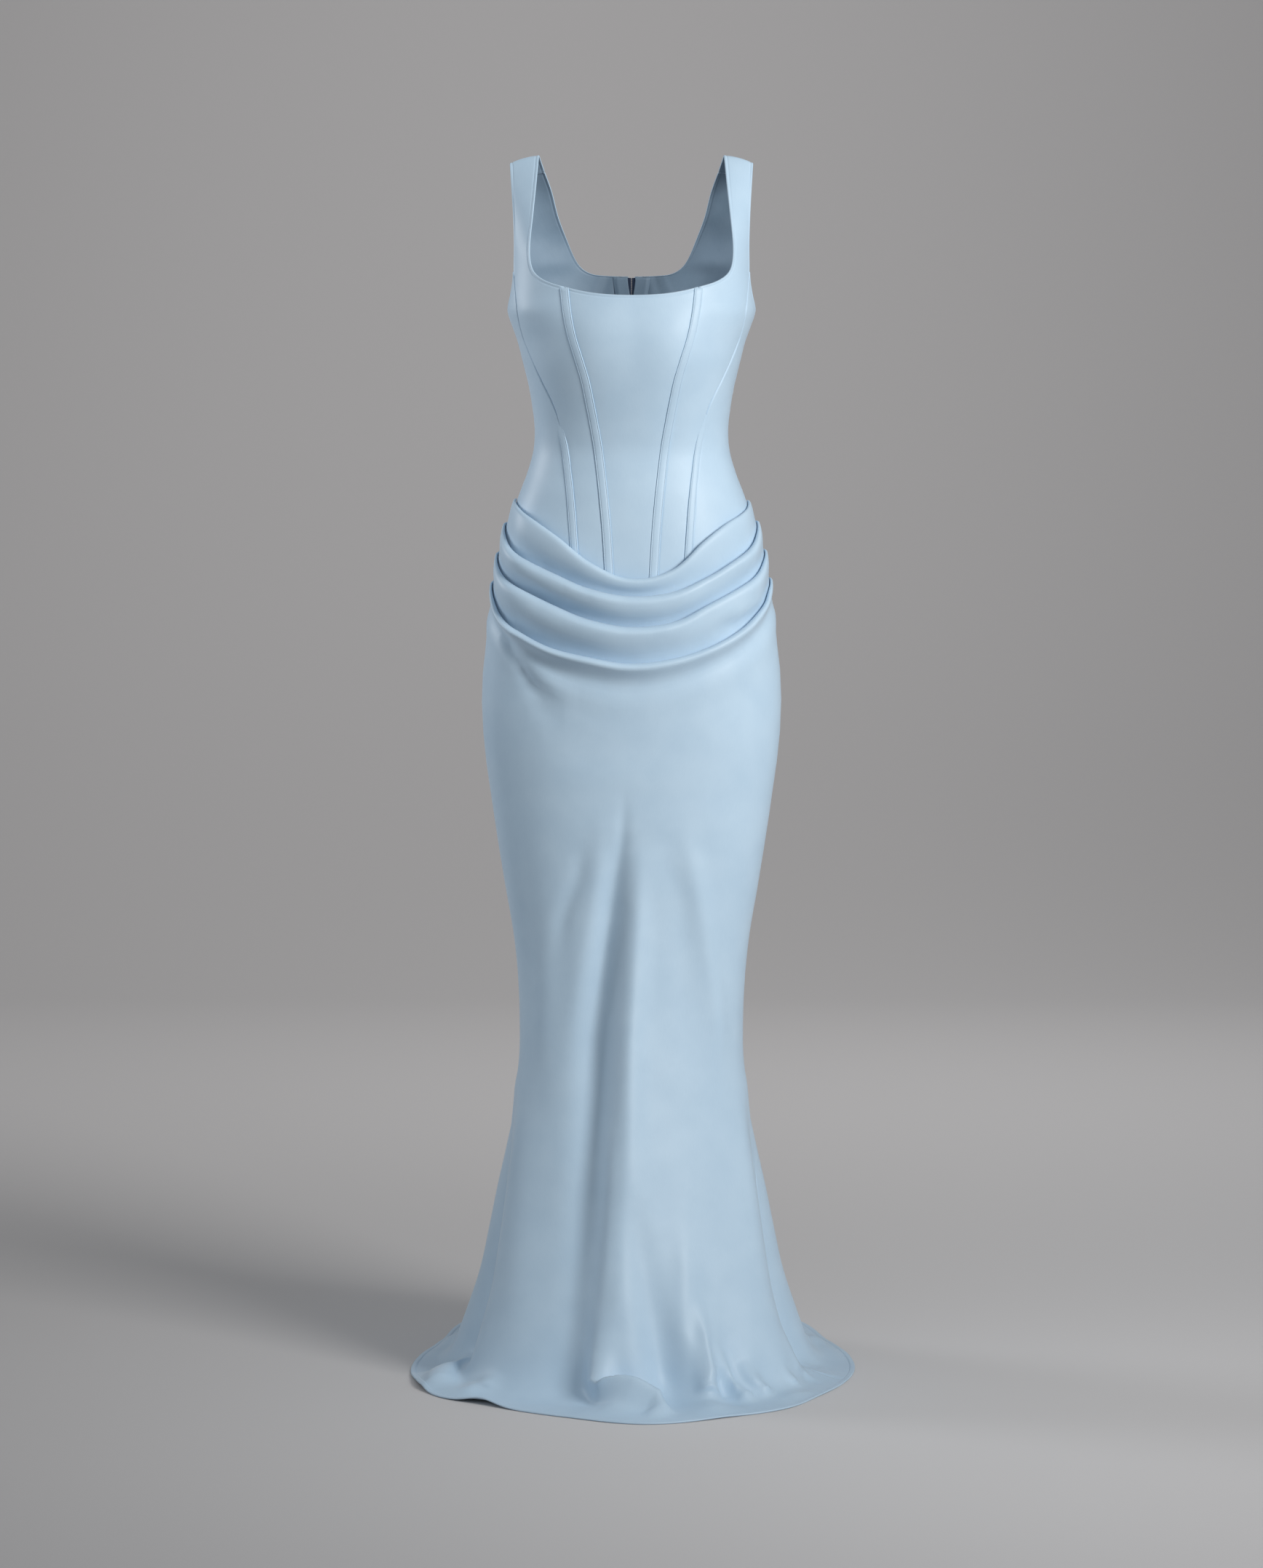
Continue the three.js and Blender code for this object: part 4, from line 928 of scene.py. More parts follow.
# %% Creases of the front
# Creases of the front, each a path down the cloth: its number, height, distance across, depth, width.
FRONT_CREASES = table(
    "crease at x depth width",
    (1, 700, -8, 0, 5), (1, 642, -11, -3, 6), (1, 525, -32, -8, 13), (1, 400, -44, -10, 16),
    (1, 265, -48, -8, 18), (1, 190, -50, -6, 19), (1, 100, -56, -3, 20), (1, 20, -60, 0, 20),
    (2, 330, -22, 0, 6), (2, 265, -22, 2.5, 6), (2, 160, -28, 2.5, 6), (2, 60, -38, 0, 6),
    (3, 650, 8, 0, 9), (3, 560, 6, 5, 9), (3, 400, -2, 7, 9), (3, 265, -3, 4, 11), (3, 171, -10, -1, 14),
    (3, 76, -20, -3, 16), (3, 20, -26, -2, 16), (3, -20, -24, 0, 14),
    (4, 680, -34, 0, 8), (4, 600, -39, 2.5, 8), (4, 525, -47, 3, 9), (4, 440, -62, 0, 9),
    (5, 640, -56, 0, 7), (5, 600, -62, -2.5, 7), (5, 551, -81, -3, 8), (5, 470, -96, 0, 9),
    (6, 660, 36, 0, 9), (6, 617, 41, -1, 9), (6, 563, 59, -1.2, 10), (6, 447, 61, -1, 10), (6, 380, 62, 0, 9),
    (7, 660, 62, 0, 8), (7, 614, 70, 2, 8), (7, 551, 82, 2.5, 9), (7, 447, 100, 2, 9), (7, 380, 106, 0, 9),
    (8, 240, 0, 0, 8), (8, 190, 6, -4, 10), (8, 114, 15, -6, 11), (8, 38, 30, -6, 11), (8, -30, 60, 0, 10),
    (15, 190, 34, 0, 9), (15, 114, 44, 4, 10), (15, 38, 60, 5, 10), (15, -30, 84, 0, 10),
    (9, 190, 58, 0, 9), (9, 150, 58, 3, 9), (9, 76, 59, 4, 9), (9, 10, 86, 4, 8), (9, -25, 100, 0, 8),
    (10, 120, 90, 0, 7), (10, 72, 92, 3.5, 7), (10, 20, 94, 4, 7), (10, -10, 98, 0, 8),
    (11, 80, 104, 0, 7), (11, 46, 110, -4, 8), (11, 0, 116, -4, 8), (11, -25, 120, 0, 9),
    (12, 60, 137, 0, 7), (12, 28, 140, 3.5, 7), (12, -10, 150, 0, 8),
    (13, 360, -130, 0, 14), (13, 303, -131, 3, 16), (13, 114, -134, 4, 18), (13, 38, -140, 0, 18),
    (16, 560, -4, 0, 40), (16, 420, -8, 11, 44), (16, 265, -12, 21, 48), (16, 114, -16, 23, 52),
    (16, 30, -18, 14, 52), (16, -20, -18, 0, 50),
    (14, 360, 138, 0, 12), (14, 303, 140, 2, 12), (14, 114, 146, 3, 14), (14, 38, 150, 0, 14),
)


def crease_lift(rows, along, across, along_name, across_name):
    """Sum of bells across each crease's path, with depth and width read along the path."""
    lift = np.zeros(np.broadcast(along, across).shape)
    for number in np.unique(rows["crease"]):
        own = rows["crease"] == number
        order = np.argsort(rows[along_name][own])
        read = lambda name: np.interp(along, rows[along_name][own][order], rows[name][own][order])
        lift += read("depth") * bell(across - read(across_name), read("width"))
    return lift


print("creases of the front:", len(np.unique(FRONT_CREASES["crease"])))

# %% Ridges at the foot
# Ridges at the foot and on the floor, each a path of turns and places, with its lift and width there.
FLOOR_RIDGES = table(
    "ridge turn at lift width",
    (1, -9, 110, 0, 10), (1, -9, 60, 7, 9), (1, -8.5, 24, 18, 9), (1, -6, 4, 26, 9), (1, 0, -9, 28, 9),
    (1, 5.5, -22, 24, 8.5), (1, 7, -37, 15, 8), (1, 3, -52, 0, 7),
    (2, 22.5, 116, 0, 6), (2, 22.5, 74, 9, 6.5), (2, 22, 34, 15, 7), (2, 21.5, 8, 13, 7), (2, 21, -12, 0, 7),
    (3, 25.5, 68, 0, 6), (3, 28, 40, 9, 7), (3, 31, 14, 12, 7), (3, 33, -2, 10, 7), (3, 34.5, -17, 0, 7),
    (4, 35.5, 44, 0, 6), (4, 38, 20, 8, 6.5), (4, 40.5, 3, 9, 6.5), (4, 42, -11, 0, 6),
    (5, 52, 32, 0, 5), (5, 55, 10, 5, 5), (5, 58, -5, 0, 5),
    (6, -58, -58, 0, 10), (6, -64, -40, 12, 13), (6, -71, -18, 18, 13), (6, -79, 0, 16, 13),
    (6, -88, 8, 5, 10),
    (7, 62, 70, 0, 8), (7, 65, 26, 7, 8), (7, 71, 4, 11, 8), (7, 79, -8, 9, 9), (7, 88, -6, 2, 9),
    (8, 25, 60, -3, 5), (8, 26.5, 26, -6, 5), (8, 27.5, 6, -4, 5),
    (9, -16, 40, -1, 9), (9, -15, 16, -4, 9), (9, -12, -6, -4, 8), (9, -8, -22, -2, 8),
    (10, -44, 30, 0, 9), (10, -47, 8, 6, 10), (10, -50, -10, 6, 10), (10, -52, -26, 0, 9),
    (11, 112, 40, 0, 9), (11, 114, 10, 8, 10), (11, 117, -20, 8, 11), (11, 120, -50, 0, 12),
    (12, -112, 50, 0, 9), (12, -115, 14, 8, 10), (12, -119, -18, 9, 11), (12, -122, -48, 0, 12),
    (13, 142, 60, 0, 11), (13, 146, 16, 10, 12), (13, 149, -20, 8, 13), (13, 152, -56, 0, 13),
    (14, -166, 70, 0, 10), (14, -167, 20, 9, 11), (14, -171, -16, 9, 12), (14, -170, -50, 0, 13),
)
print("ridges at the foot:", len(np.unique(FLOOR_RIDGES["ridge"])))


# %% Ridges laid over the bend at the floor
def ridge_lift(turn, at):
    """Sum of the ridges: each is its lift times a bell of the distance to its path on the plain form."""
    low = np.asarray(at) < 150
    turn, at = (np.broadcast_to(value, low.shape)[low] for value in (turn, at))
    place, total = ring_point(turn, at), np.zeros(low.shape)
    for number in np.unique(FLOOR_RIDGES["ridge"]):
        own = {key: values[FLOOR_RIDGES["ridge"] == number] for key, values in FLOOR_RIDGES.items()}
        path, best = ring_point(own["turn"], own["at"]), np.zeros(len(place))
        for k in range(len(path) - 1):
            way = path[k + 1] - path[k]
            share = np.clip((place - path[k]) @ way / (way @ way), 0, 1)
            away = np.linalg.norm(place - path[k] - share[:, None] * way, axis=-1)
            width = mix(own["width"][k], own["width"][k + 1], share)
            here = mix(own["lift"][k], own["lift"][k + 1], share) * bell(away, width)
            best = np.where(np.abs(here) > np.abs(best), here, best)
        total[low] += best
    return total


def with_foot(turn, at, lift):
    """Cloth whose bend at the floor is averaged into a soft curve, with the ridges laid over it."""
    grid = cloth_point(turn, at, lift)
    grid = smoothed_rows(grid, np.argmin(np.abs(at[:, 0])), reach=10, rounds=70)
    return grid + outward(grid) * ridge_lift(turn, at)[..., None]


crest = ridge_lift(np.zeros((1, 1)), np.full((1, 1), -9.0))[0, 0]
print("height of the hem's curl over the floor form:", crest.round(1), "mm")

# %% [markdown]
# ## The drape
#
# At the hips the skirt front is laid in folds that run from side seam to side seam and sag at the
# centre. Each fold turns under, comes back up and rolls over the layer above it. So the cloth's path
# from the drape's top edge to the hem is one long profile, and the profile changes with the turn: the
# rolls are full at the front and pinched flat at the side seams.

# %% Lines of the drape
DRAPE_LINES = table(
    "turn edge first second third fourth fifth",
    (-90, 1038, 1010, 976, 942, 912, 872), (-75, 1031, 997, 960, 923, 899, 858),
    (-60, 1022, 980, 945, 901, 880, 840), (-45, 1010, 966, 932, 884, 862, 824),
    (-30, 992, 952, 917, 868, 843, 806), (-15, 965, 936, 901, 858, 829, 786),
    (0, 947, 927, 892, 850, 822, 775), (15, 957, 932, 898, 856, 829, 784),
    (30, 988, 948, 917, 869, 845, 798), (45, 1008, 966, 934, 887, 863, 815),
    (60, 1019, 982, 949, 909, 884, 835), (75, 1027, 999, 966, 931, 906, 860),
    (90, 1036, 1012, 979, 946, 918, 880),
)
ROLLS = {"edge": 3.2, "first": 5.6, "second": 6.0, "third": 5.4}
# Turns between which the hollow above each roll deepens, from right to left.
POCKETS = {"first": (20, -10), "second": (48, 4), "third": (14, -18)}
TUCK_RADIUS, TURN_UNDER, EDGE_ALLOWANCE = 1.2, 12, 13
LOWER_ROWS = np.concatenate([
    np.arange(700, 110, -10.0), np.linspace(108, -64, 60), np.linspace(-65.2, -HEM_LENGTH, 18)])
# Share of the way down to the next roll, and the share of the roll's lift there, plain and in a pocket.
HOLLOWS = table(
    "share plain pocket",
    (0.15, 0.98, 1), (0.3, 0.88, 0.98), (0.45, 0.7, 0.9), (0.6, 0.46, 0.72),
    (0.75, 0.22, 0.42), (0.9, 0.05, 0.06),
)
# Under the rolls: shares of the way to the next line, with the share of the last roll's lift there,
# and then for two soft folds with the lift itself.
BELOW_ROLLS = ((0.2, 0.9), (0.4, 0.62), (0.6, 0.32), (0.8, 0.12), (1, 0))
FOURTH_FOLD = ((0.18, 3.4), (0.35, 5.6), (0.6, 3.6), (0.8, 1.0), (1, 0.2))
FIFTH_FOLD = ((0.2, 1.8), (0.4, 2.8), (0.65, 1.5), (0.85, 0.4))
print("turns at which the drape is read:", len(DRAPE_LINES["turn"]))


# %% The drape's profile
def drape_profile(turn):
    """Heights and lifts of the profile's stations, one row a station, one column a turn."""
    line = lambda name: value_at(DRAPE_LINES, "turn", name, turn)
    side = ease(np.abs(turn), 50, 88)
    under = mix(2.5, 1.3, ease(np.abs(turn), 55, 75))
    stations = [(line("edge") - EDGE_ALLOWANCE, under)]

    def roll(name, inner):
        """Stations round a roll from its inner side over its foot; gives back how far out it stands."""
        radius = mix(ROLLS[name] * (1 + 0.65 * bell(turn + 14, 26)), TUCK_RADIUS, side)
        for angle in np.radians([180, 150, 120, 90, 60, 30, 0]):
            lift = inner + radius * (1 + np.cos(angle))
            stations.append((line(name) - radius + radius * np.sin(angle), lift))
        return inner + 2 * radius

    crest, above = roll("edge", under), "edge"
    for name in ("first", "second", "third"):
        pocket = ease(-turn, -POCKETS[name][0], -POCKETS[name][1]) * (1 - side)
        for row in rows_of(HOLLOWS):
            at = mix(line(above), line(name) + 1.5, row["share"]) - 1.5 * (1 - row["share"])
            stations.append((at, mix(under + 0.4, crest, mix(row["plain"], row["pocket"], pocket))))
        stations.append((line(name) + 1.5, under + 0.4))
        bottom = line(name) - TURN_UNDER
        for angle in np.radians([90, 135, 180, 225, 270]):
            at = bottom + TUCK_RADIUS * (1 + np.cos(angle))
            stations.append((at, under + TUCK_RADIUS * (1 - np.sin(angle))))
        crest, above = roll(name, under + 2 * TUCK_RADIUS), name
    third, fourth, fifth = line("third"), line("fourth"), line("fifth")
    for share, lift in BELOW_ROLLS:
        stations.append((mix(third - 2, fourth, share), mix(0.8, crest, lift)))
    for share, lift in FOURTH_FOLD:
        stations.append((mix(fourth, fifth, share), lift + 0 * turn))
    for share, lift in FIFTH_FOLD:
        stations.append((mix(fifth, LOWER_ROWS[0], share), lift + 0 * turn))
    for at in LOWER_ROWS:
        stations.append((at + 0 * turn, 0 * turn))
    return np.array([s[0] for s in stations]), np.array([s[1] for s in stations])


def smoothed_profile(at, lift, rounds=2):
    """Stations averaged a little along the profile, so that its arcs and slopes run together."""
    for _ in range(rounds):
        for rows in (at, lift):
            rows[1:-1] += 0.5 * ((rows[:-2] + rows[2:]) / 2 - rows[1:-1])
    return at, lift


print("stations down the skirt front:", len(drape_profile(np.zeros(1))[0]))

# %% Creases across the drape
# Small creases that run across the drape: number, turn, height, depth, width.
DRAPE_CREASES = table(
    "crease turn at depth width",
    (1, 30, 900, 0, 5), (1, 44, 905, 2.2, 5), (1, 58, 918, 2.6, 5), (1, 72, 925, 0, 5),
    (2, 30, 892, 0, 6), (2, 42, 893, -2.6, 6), (2, 56, 902, -1.5, 6), (2, 66, 912, 0, 6),
    (3, -62, 884, 0, 6), (3, -54, 866, -4, 6), (3, -44, 838, -4.5, 7), (3, -34, 806, -3, 8),
    (3, -24, 790, 0, 9),
    (4, -60, 898, 0, 6), (4, -50, 880, 3, 7), (4, -40, 852, 3, 8), (4, -28, 822, 2, 9), (4, -18, 806, 0, 9),
    (5, -50, 968, 0, 8), (5, -38, 958, -3, 8), (5, -25, 940, -3, 8), (5, -12, 930, 0, 8),
    (6, -48, 930, 0, 7), (6, -36, 918, -2.5, 7), (6, -24, 905, -2, 7), (6, -10, 898, 0, 7),
    (7, 18, 925, 0, 7), (7, 30, 940, -2.5, 7), (7, 42, 955, -2, 7), (7, 54, 966, 0, 7),
    (8, 12, 890, 0, 7), (8, 26, 902, -2.5, 7), (8, 40, 920, -2, 7), (8, 54, 938, 0, 7),
    (9, -34, 764, 0, 13), (9, -16, 744, -3.2, 13), (9, 6, 739, -3.4, 14), (9, 30, 752, 0, 14),
)
print("creases across the drape:", len(np.unique(DRAPE_CREASES["crease"])))

# %% [markdown]
# ## The skirt pieces
#
# The front is one sheet with the drape. The two halves of the back hang plain from the waist seam and
# spread behind. At the side seams the sheets meet in the same turned valley as the corset's seams.

# %% Where the skirt's cloth lies
SKIRT_CLOTH = 1.2
# The turned-up hem: its row of stitches inside the edge, and how much thicker its layers are.
HEM_STITCH, HEM_LAYERS = 4.6, 1.0
# Half the gap between two sheets at the side seam.
SIDE_GAP = 0.05
# Depth of the slow swell of the skirt, and its length from crest to crest.
SKIRT_SWELL, SKIRT_WAVE = 0.5, 110


def side_seam_turn(at):
    """The side seam is at the side down to the calf, then drifts forwards to the hem."""
    return 90 - 6 * ease(330 - at, 0, 270) - 9 * ease(60 - at, 0, 140)


def cloth_point(turn, at, lift):
    """Form with its folds, moved out along the form's own direction by a lift."""
    level = np.stack([np.sin(np.radians(turn)), -np.cos(np.radians(turn)), 0 * turn * at], axis=-1)
    point = ring_point(turn, at) + level * fold_push(turn, at)[..., None]
    point[..., 2] += floor_rise(turn, at)
    return point + ring_normal(turn, at) * lift[..., None]


def on_the_floor(grid):
    """No point of the cloth's middle is lower than half its thickness."""
    grid[..., 2] = np.maximum(grid[..., 2], SKIRT_CLOTH / 2 + 0.1)
    return grid


print("turn of the side seam at the hem:", float(side_seam_turn(-80.0)), "degrees")


# %% Grids of the skirt
def skirt_front_grid(columns):
    """Profile stations down, turns across: the drape, then the upright folds and their creases."""
    share = np.linspace(-1, 1, columns)
    share = share - 0.25 / np.pi * np.sin(np.pi * share)
    at, lift = smoothed_profile(*drape_profile(90 * share))
    turn = shifted_turn(side_seam_turn(at), at, -SIDE_GAP) * share
    across = ring_point(turn, at)[..., 0]
    lift = lift + crease_lift(FRONT_CREASES, at, across, "at", "x")
    lift = lift + crease_lift(DRAPE_CREASES, turn, at, "turn", "at") * ease(at, 700, 760)
    lift = lift * (1 - 0.5 * ease(np.abs(turn), 87, 90) * ease(at, 800, 840))
    return with_foot(turn, at, lift)


def skirt_back_grid(columns, side):
    """Heights down, turns across from the side seam to the centre back."""
    share = crowded(columns, 0.6)[None, :]
    top = waist_seam(mix(90, 180, share))
    upper = np.linspace(0, 1, 30)[:-1, None]
    at = np.concatenate([mix(top, 700.0, upper), np.repeat(LOWER_ROWS[:, None], columns, axis=1)])
    start = shifted_turn(side * side_seam_turn(at), at, SIDE_GAP * side)
    end = shifted_turn(side * 180.0, at, -side * ZIP_SHUT)
    return with_foot(mix(start, end, share), at, -SKIRT_CLOTH / 2 + 0 * at)


front_grid = skirt_front_grid(201)
print("skirt front grid:", front_grid.shape)


# %% Sewing the skirt
def skirt_piece(kind, suffix, grid, seams):
    """Sewn grid as a shell, turned so that its first side faces out, with a stitched hem."""
    if is_turned(grid):
        grid, seams = grid[:, ::-1], [seams[1], seams[0], seams[2], seams[3]]
    grid = grid + grid_normals(grid) * (SKIRT_SWELL * undulation(grid, SKIRT_WAVE))[..., None]
    grid = on_the_floor(sewn(grid, seams, valley=1.1, reach=1.6, pucker=0.3))
    turned_up = HEM_LAYERS * (1 - ease(edge_distances(grid)[3], HEM_STITCH - 0.2, HEM_STITCH + 1))
    grid[..., 2] += turned_up / 2
    thickness = pinched(grid, [0, 0, 0, 0.6], SKIRT_CLOTH - 0.2, HEM_STITCH) + turned_up
    piece = cloth_shell(f"{kind}_satin{suffix}", grid, thickness, [SATIN])
    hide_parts(kind + suffix)
    return grid


hem_grids = {"front": skirt_piece(
    "skirt_front", "", front_grid, [0.7, 0.7, 0, 0])}
for side, suffix in SIDES:
    hem_grids[f"back{suffix}"] = skirt_piece(
        "skirt_back", suffix, skirt_back_grid(101, side), [0.7, 0.8, 0.5, 0])
print("skirt grids:", {name: grid.shape for name, grid in hem_grids.items()})

# %% [markdown]
# ## The zip
#
# The zip's tapes lie behind the turned edges of the back. A nylon coil runs down the edge of each
# tape, and above the slider the two coils part in a narrow V. The slider is a small painted casting
# with two ears, and its tab swings on a pin.

# %% Lacquered zinc
# Zinc casting under a thin lacquer: smooth, with an even gloss and faint orange peel.
LACQUER, lacquer_tree = empty_material("lacquered_zinc")
lacquer_place = add_node(lacquer_tree, "ShaderNodeTexCoord", {}, {})
peel = pattern(lacquer_tree, lacquer_place.outputs["Object"], 2500.0, 1.0)
peel_colour = two_shades(lacquer_tree, peel.outputs["Fac"], "#7B8CA0", "#8FA0B3")
peel_bump = add_node(lacquer_tree, "ShaderNodeBump", {}, {
    "Height": peel.outputs["Fac"], "Strength": 0.3, "Distance": 0.00002})
show_surface(lacquer_tree, {
    "Base Color": peel_colour.outputs["Color"], "Normal": peel_bump.outputs["Normal"],
    "Metallic": 0.6, "Roughness": 0.3, "Coat Weight": 0.5, "Coat Roughness": 0.15})
print("material:", LACQUER.name)


# %% Beads along a path
def repeated(template, faces, centres, along, out):
    """Copies of a small closed shape, each turned to its own along, out and side directions."""
    side = unit(np.cross(along, out))
    out = np.cross(side, along)
    frames = np.stack([along, side, out], axis=1)
    points = np.einsum("tk,skj->stj", template, frames) + centres[:, None, :]
    count = len(template)
    numbers = faces[None] + count * np.arange(len(centres))[:, None, None]
    return points.reshape(-1, 3), numbers.reshape(-1, faces.shape[1])


def between_rings(ring):
    """Four corners of each cell between rings of points that close on themselves."""
    after = np.roll(ring, -1, axis=1)
    return np.stack([ring[:-1], after[:-1], after[1:], ring[1:]], axis=-1).reshape(-1, 4)


def closed_bead(length, width, height, rings=5):
    """Closed bead of six sides: rings along its length, small at the ends, each end shut by two quads."""
    t = np.linspace(-1, 1, rings)[:, None]
    radius = np.maximum(1 - np.abs(t) ** 2.5, 0.03) ** 0.5
    angle = np.pi / 3 * np.arange(6)[None, :]
    points = np.stack([t * length / 2 + 0 * angle, radius * np.cos(angle) * width / 2,
                       radius * np.sin(angle) * height / 2], axis=-1).reshape(-1, 3)
    ring = np.arange(rings * 6).reshape(rings, 6)
    first, last = ring[0], ring[-1]
    caps = [first[[3, 2, 1, 0]], first[[5, 4, 3, 0]], last[[0, 1, 2, 3]], last[[0, 3, 4, 5]]]
    return points, np.concatenate([between_rings(ring), caps])


def spaced(path, pitch):
    """Places at an even pitch along a path, and the path's direction there."""
    length = np.concatenate([[0], np.cumsum(np.linalg.norm(np.diff(path, axis=0), axis=1))])
    places = np.arange(pitch / 2, length[-1], pitch)
    on_path = lambda along: np.stack([np.interp(along, length, path[:, k]) for k in range(3)], axis=-1)
    return on_path(places), unit(on_path(places + 0.5) - on_path(places - 0.5))


print("a bead has", len(closed_bead(2.5, 1.0, 1.0)[1]), "faces")

# %% Tapes, coils and facings
TAPE_OPEN, TAPE_WIDTH, TAPE_CLEARANCE, TAPE_THICKNESS = 0.9, 11, 0.8, 1.0
# The facing's width, and how deep it lies behind the cloth's face, at its folded and its far edge.
FACING_WIDTH, FACING_DEEP, FACING_FAR = 17, -4.3, -2.4
# Distance from one turn of the coil to the next, and a turn's length, width and height.
COIL_PITCH, COIL_TURN = 1.45, (2.5, 1.0, 1.0)
zip_heights = np.linspace(BACK_NECK_HEIGHT - 1.5, ZIP_END, 140)
facing_heights = np.linspace(BACK_NECK_HEIGHT - 1.2, ZIP_END - 5, 140)
for side, suffix in SIDES:
    share, height = np.meshgrid(np.linspace(0, 1, 7), zip_heights)
    turn = 180 - front_turn(zip_gap(height, TAPE_OPEN) + share * TAPE_WIDTH, height)
    depth = -BODICE_CLOTH - TAPE_CLEARANCE - TAPE_THICKNESS / 2
    tape = cloth_point(turn, height, depth + 0 * height) * [side, 1, 1]
    piece = cloth_shell(f"zip_tape_woven{suffix}", tape, 0.6, [TAPE])
    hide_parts(f"zip_tape{suffix}")
    centres, along = spaced(tape[:, 0] + [side * -0.4, 0.55, 0], COIL_PITCH)
    across = np.repeat([[float(side), 0.0, 0.12]], len(centres), axis=0)
    points, faces = repeated(*closed_bead(*COIL_TURN), centres, unit(across), along)
    coil = make_mesh(f"zip_coil{suffix}", points, faces, [TAPE])
    share, height = np.meshgrid(np.linspace(0, 1, 16), facing_heights)
    turn = 180 - front_turn(zip_gap(height, ZIP_OPEN) + 0.9 + share * FACING_WIDTH, height)
    strip = cloth_point(turn, height, mix(FACING_DEEP, FACING_FAR, ease(share, 0.72, 1))) * [side, 1, 1]
    # The facing wears the lining, whose darker colour is painted shade.
    facing = cloth_shell(f"zip_facing{suffix}", strip, 0.8, [LINING_IN_PAINTED_SHADE])
print("zip teeth on each side:", len(centres))


# %% The slider
def rounded_block(centre, size, power, count=24):
    """Superellipsoid: a ball whose sines and cosines are raised to a power, so it fills its box."""
    around = np.linspace(0, 2 * np.pi, count + 1)[:-1]
    u, w = np.meshgrid(around, np.linspace(-np.pi / 2, np.pi / 2, count // 2 + 1))
    bent = lambda value: np.sign(value) * np.abs(value) ** power
    level = bent(np.cos(w))
    ball = np.stack([level * bent(np.cos(u)), level * bent(np.sin(u)), bent(np.sin(w))], axis=-1)
    points = (ball * np.array(size) / 2 + np.array(centre)).reshape(-1, 3)
    return points, between_rings(np.arange(len(points)).reshape(ball.shape[:2]))


def joined(shapes):
    """Several sets of points and faces as one."""
    starts = np.cumsum([0] + [len(points) for points, _ in shapes[:-1]])
    return (np.concatenate([points for points, _ in shapes]),
            np.concatenate([faces + start for (_, faces), start in zip(shapes, starts)]))


# Depth of the slider's face on the zip, and of its pin, in millimetres behind the dress's origin.
slider_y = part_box("zip_slider")[0][1] * 1000
pin_y = slider_y + 4.2
ear = lambda side: rounded_block((side * 2.6, pin_y - 1.0, SLIDER_HEIGHT), (0.9, 4.4, 3.4), 0.5)
slider = make_mesh("zip_slider_casting", *joined([
    rounded_block((0, slider_y + 1.2, SLIDER_HEIGHT), (6.4, 2.4, 9), 0.45),
    ear(-1), ear(1),
    rounded_block((0, pin_y, SLIDER_HEIGHT), (5.2, 1.2, 1.2), 0.6),
]), [LACQUER])
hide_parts("zip_slider")
print("the pin lies", round(pin_y - slider_y, 1), "mm behind the slider's face on the zip")


# %% The pull tab
def pull_ring(centre, radius, tube, width, count=24, sides=8):
    """Ring round the pin: a flattened tube carried round a circle in the plane across the pin."""
    around, along = (np.linspace(0, 2 * np.pi, number + 1)[:-1] for number in (sides, count))
    u, w = np.meshgrid(around, along)
    reach = radius + tube * np.cos(u)
    points = np.stack([width * np.sin(u), reach * np.cos(w), reach * np.sin(w)], axis=-1) + np.array(centre)
    ring = np.arange(count * sides).reshape(count, sides)
    return points.reshape(-1, 3), between_rings(np.concatenate([ring, ring[:1]]))


pull = make_mesh("zip_pull_tab", *joined([
    pull_ring((0, pin_y, SLIDER_HEIGHT), 1.17, 0.42, 1.8),
    rounded_block((0, pin_y, SLIDER_HEIGHT - 10.1), (3.8, 1.1, 17.6), 0.4),
]), [LACQUER])
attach(pull, "zip_pull")
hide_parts("zip_pull")
print("the tab is", round(pull.dimensions.z * 1000, 1), "mm long")

# %% [markdown]
# ## Stitching
#
# Where thread shows it is modelled, because a row of real stitches catches light that a drawn line
# doesn't. Each stitch is one small bead, laid along its seam at the length a machine is set to.

# %% Stitches
def stitch_row(name, path, out, length, pitch, thickness):
    """Beads along a path, a little sunk in the cloth; out is the cloth's direction at the path."""
    centres, along = spaced(path, pitch)
    shape, shape_faces = closed_bead(length, thickness, thickness * 0.8)
    nearest = np.linspace(0, len(path) - 1, len(centres)).round().astype(int)
    points, faces = repeated(shape, shape_faces, centres, along, out[nearest])
    piece = make_mesh(name, points, faces, [THREAD])
    return piece


# Columns of a channel's section that lie in its two grooves, each with a letter for its row.
GROOVES = ((5, "a"), (13, "b"))
# Length of a stitch, distance to the next and thickness of its thread, on the channels and the hem,
# and how far each row stands out from the cloth's middle.
CHANNEL_STITCH, HEM_ROW_STITCH = (2.1, 2.9, 0.5), (2.4, 3.4, 0.5)
CHANNEL_PROUD, HEM_PROUD = 0.12, 0.35
stitched = []
for name, top in channel_tops.items():
    normals = grid_normals(top)
    for column, letter in GROOVES:
        path = top[4:-4, column] + normals[4:-4, column] * CHANNEL_PROUD
        stitched.append(stitch_row(f"{name}_stitches_{letter}", path, normals[4:-4, column], *CHANNEL_STITCH))
for name, sewn_grid in hem_grids.items():
    normals = grid_normals(sewn_grid)
    away = edge_distances(sewn_grid)[3]
    row = np.argmin(np.abs(away[:, sewn_grid.shape[1] // 2] - HEM_STITCH))
    path = sewn_grid[row, 3:-3] + normals[row, 3:-3] * HEM_PROUD
    stitched.append(stitch_row(f"hem_stitches_{name}", path, normals[row, 3:-3], *HEM_ROW_STITCH))
print("stitch rows:", len(stitched))
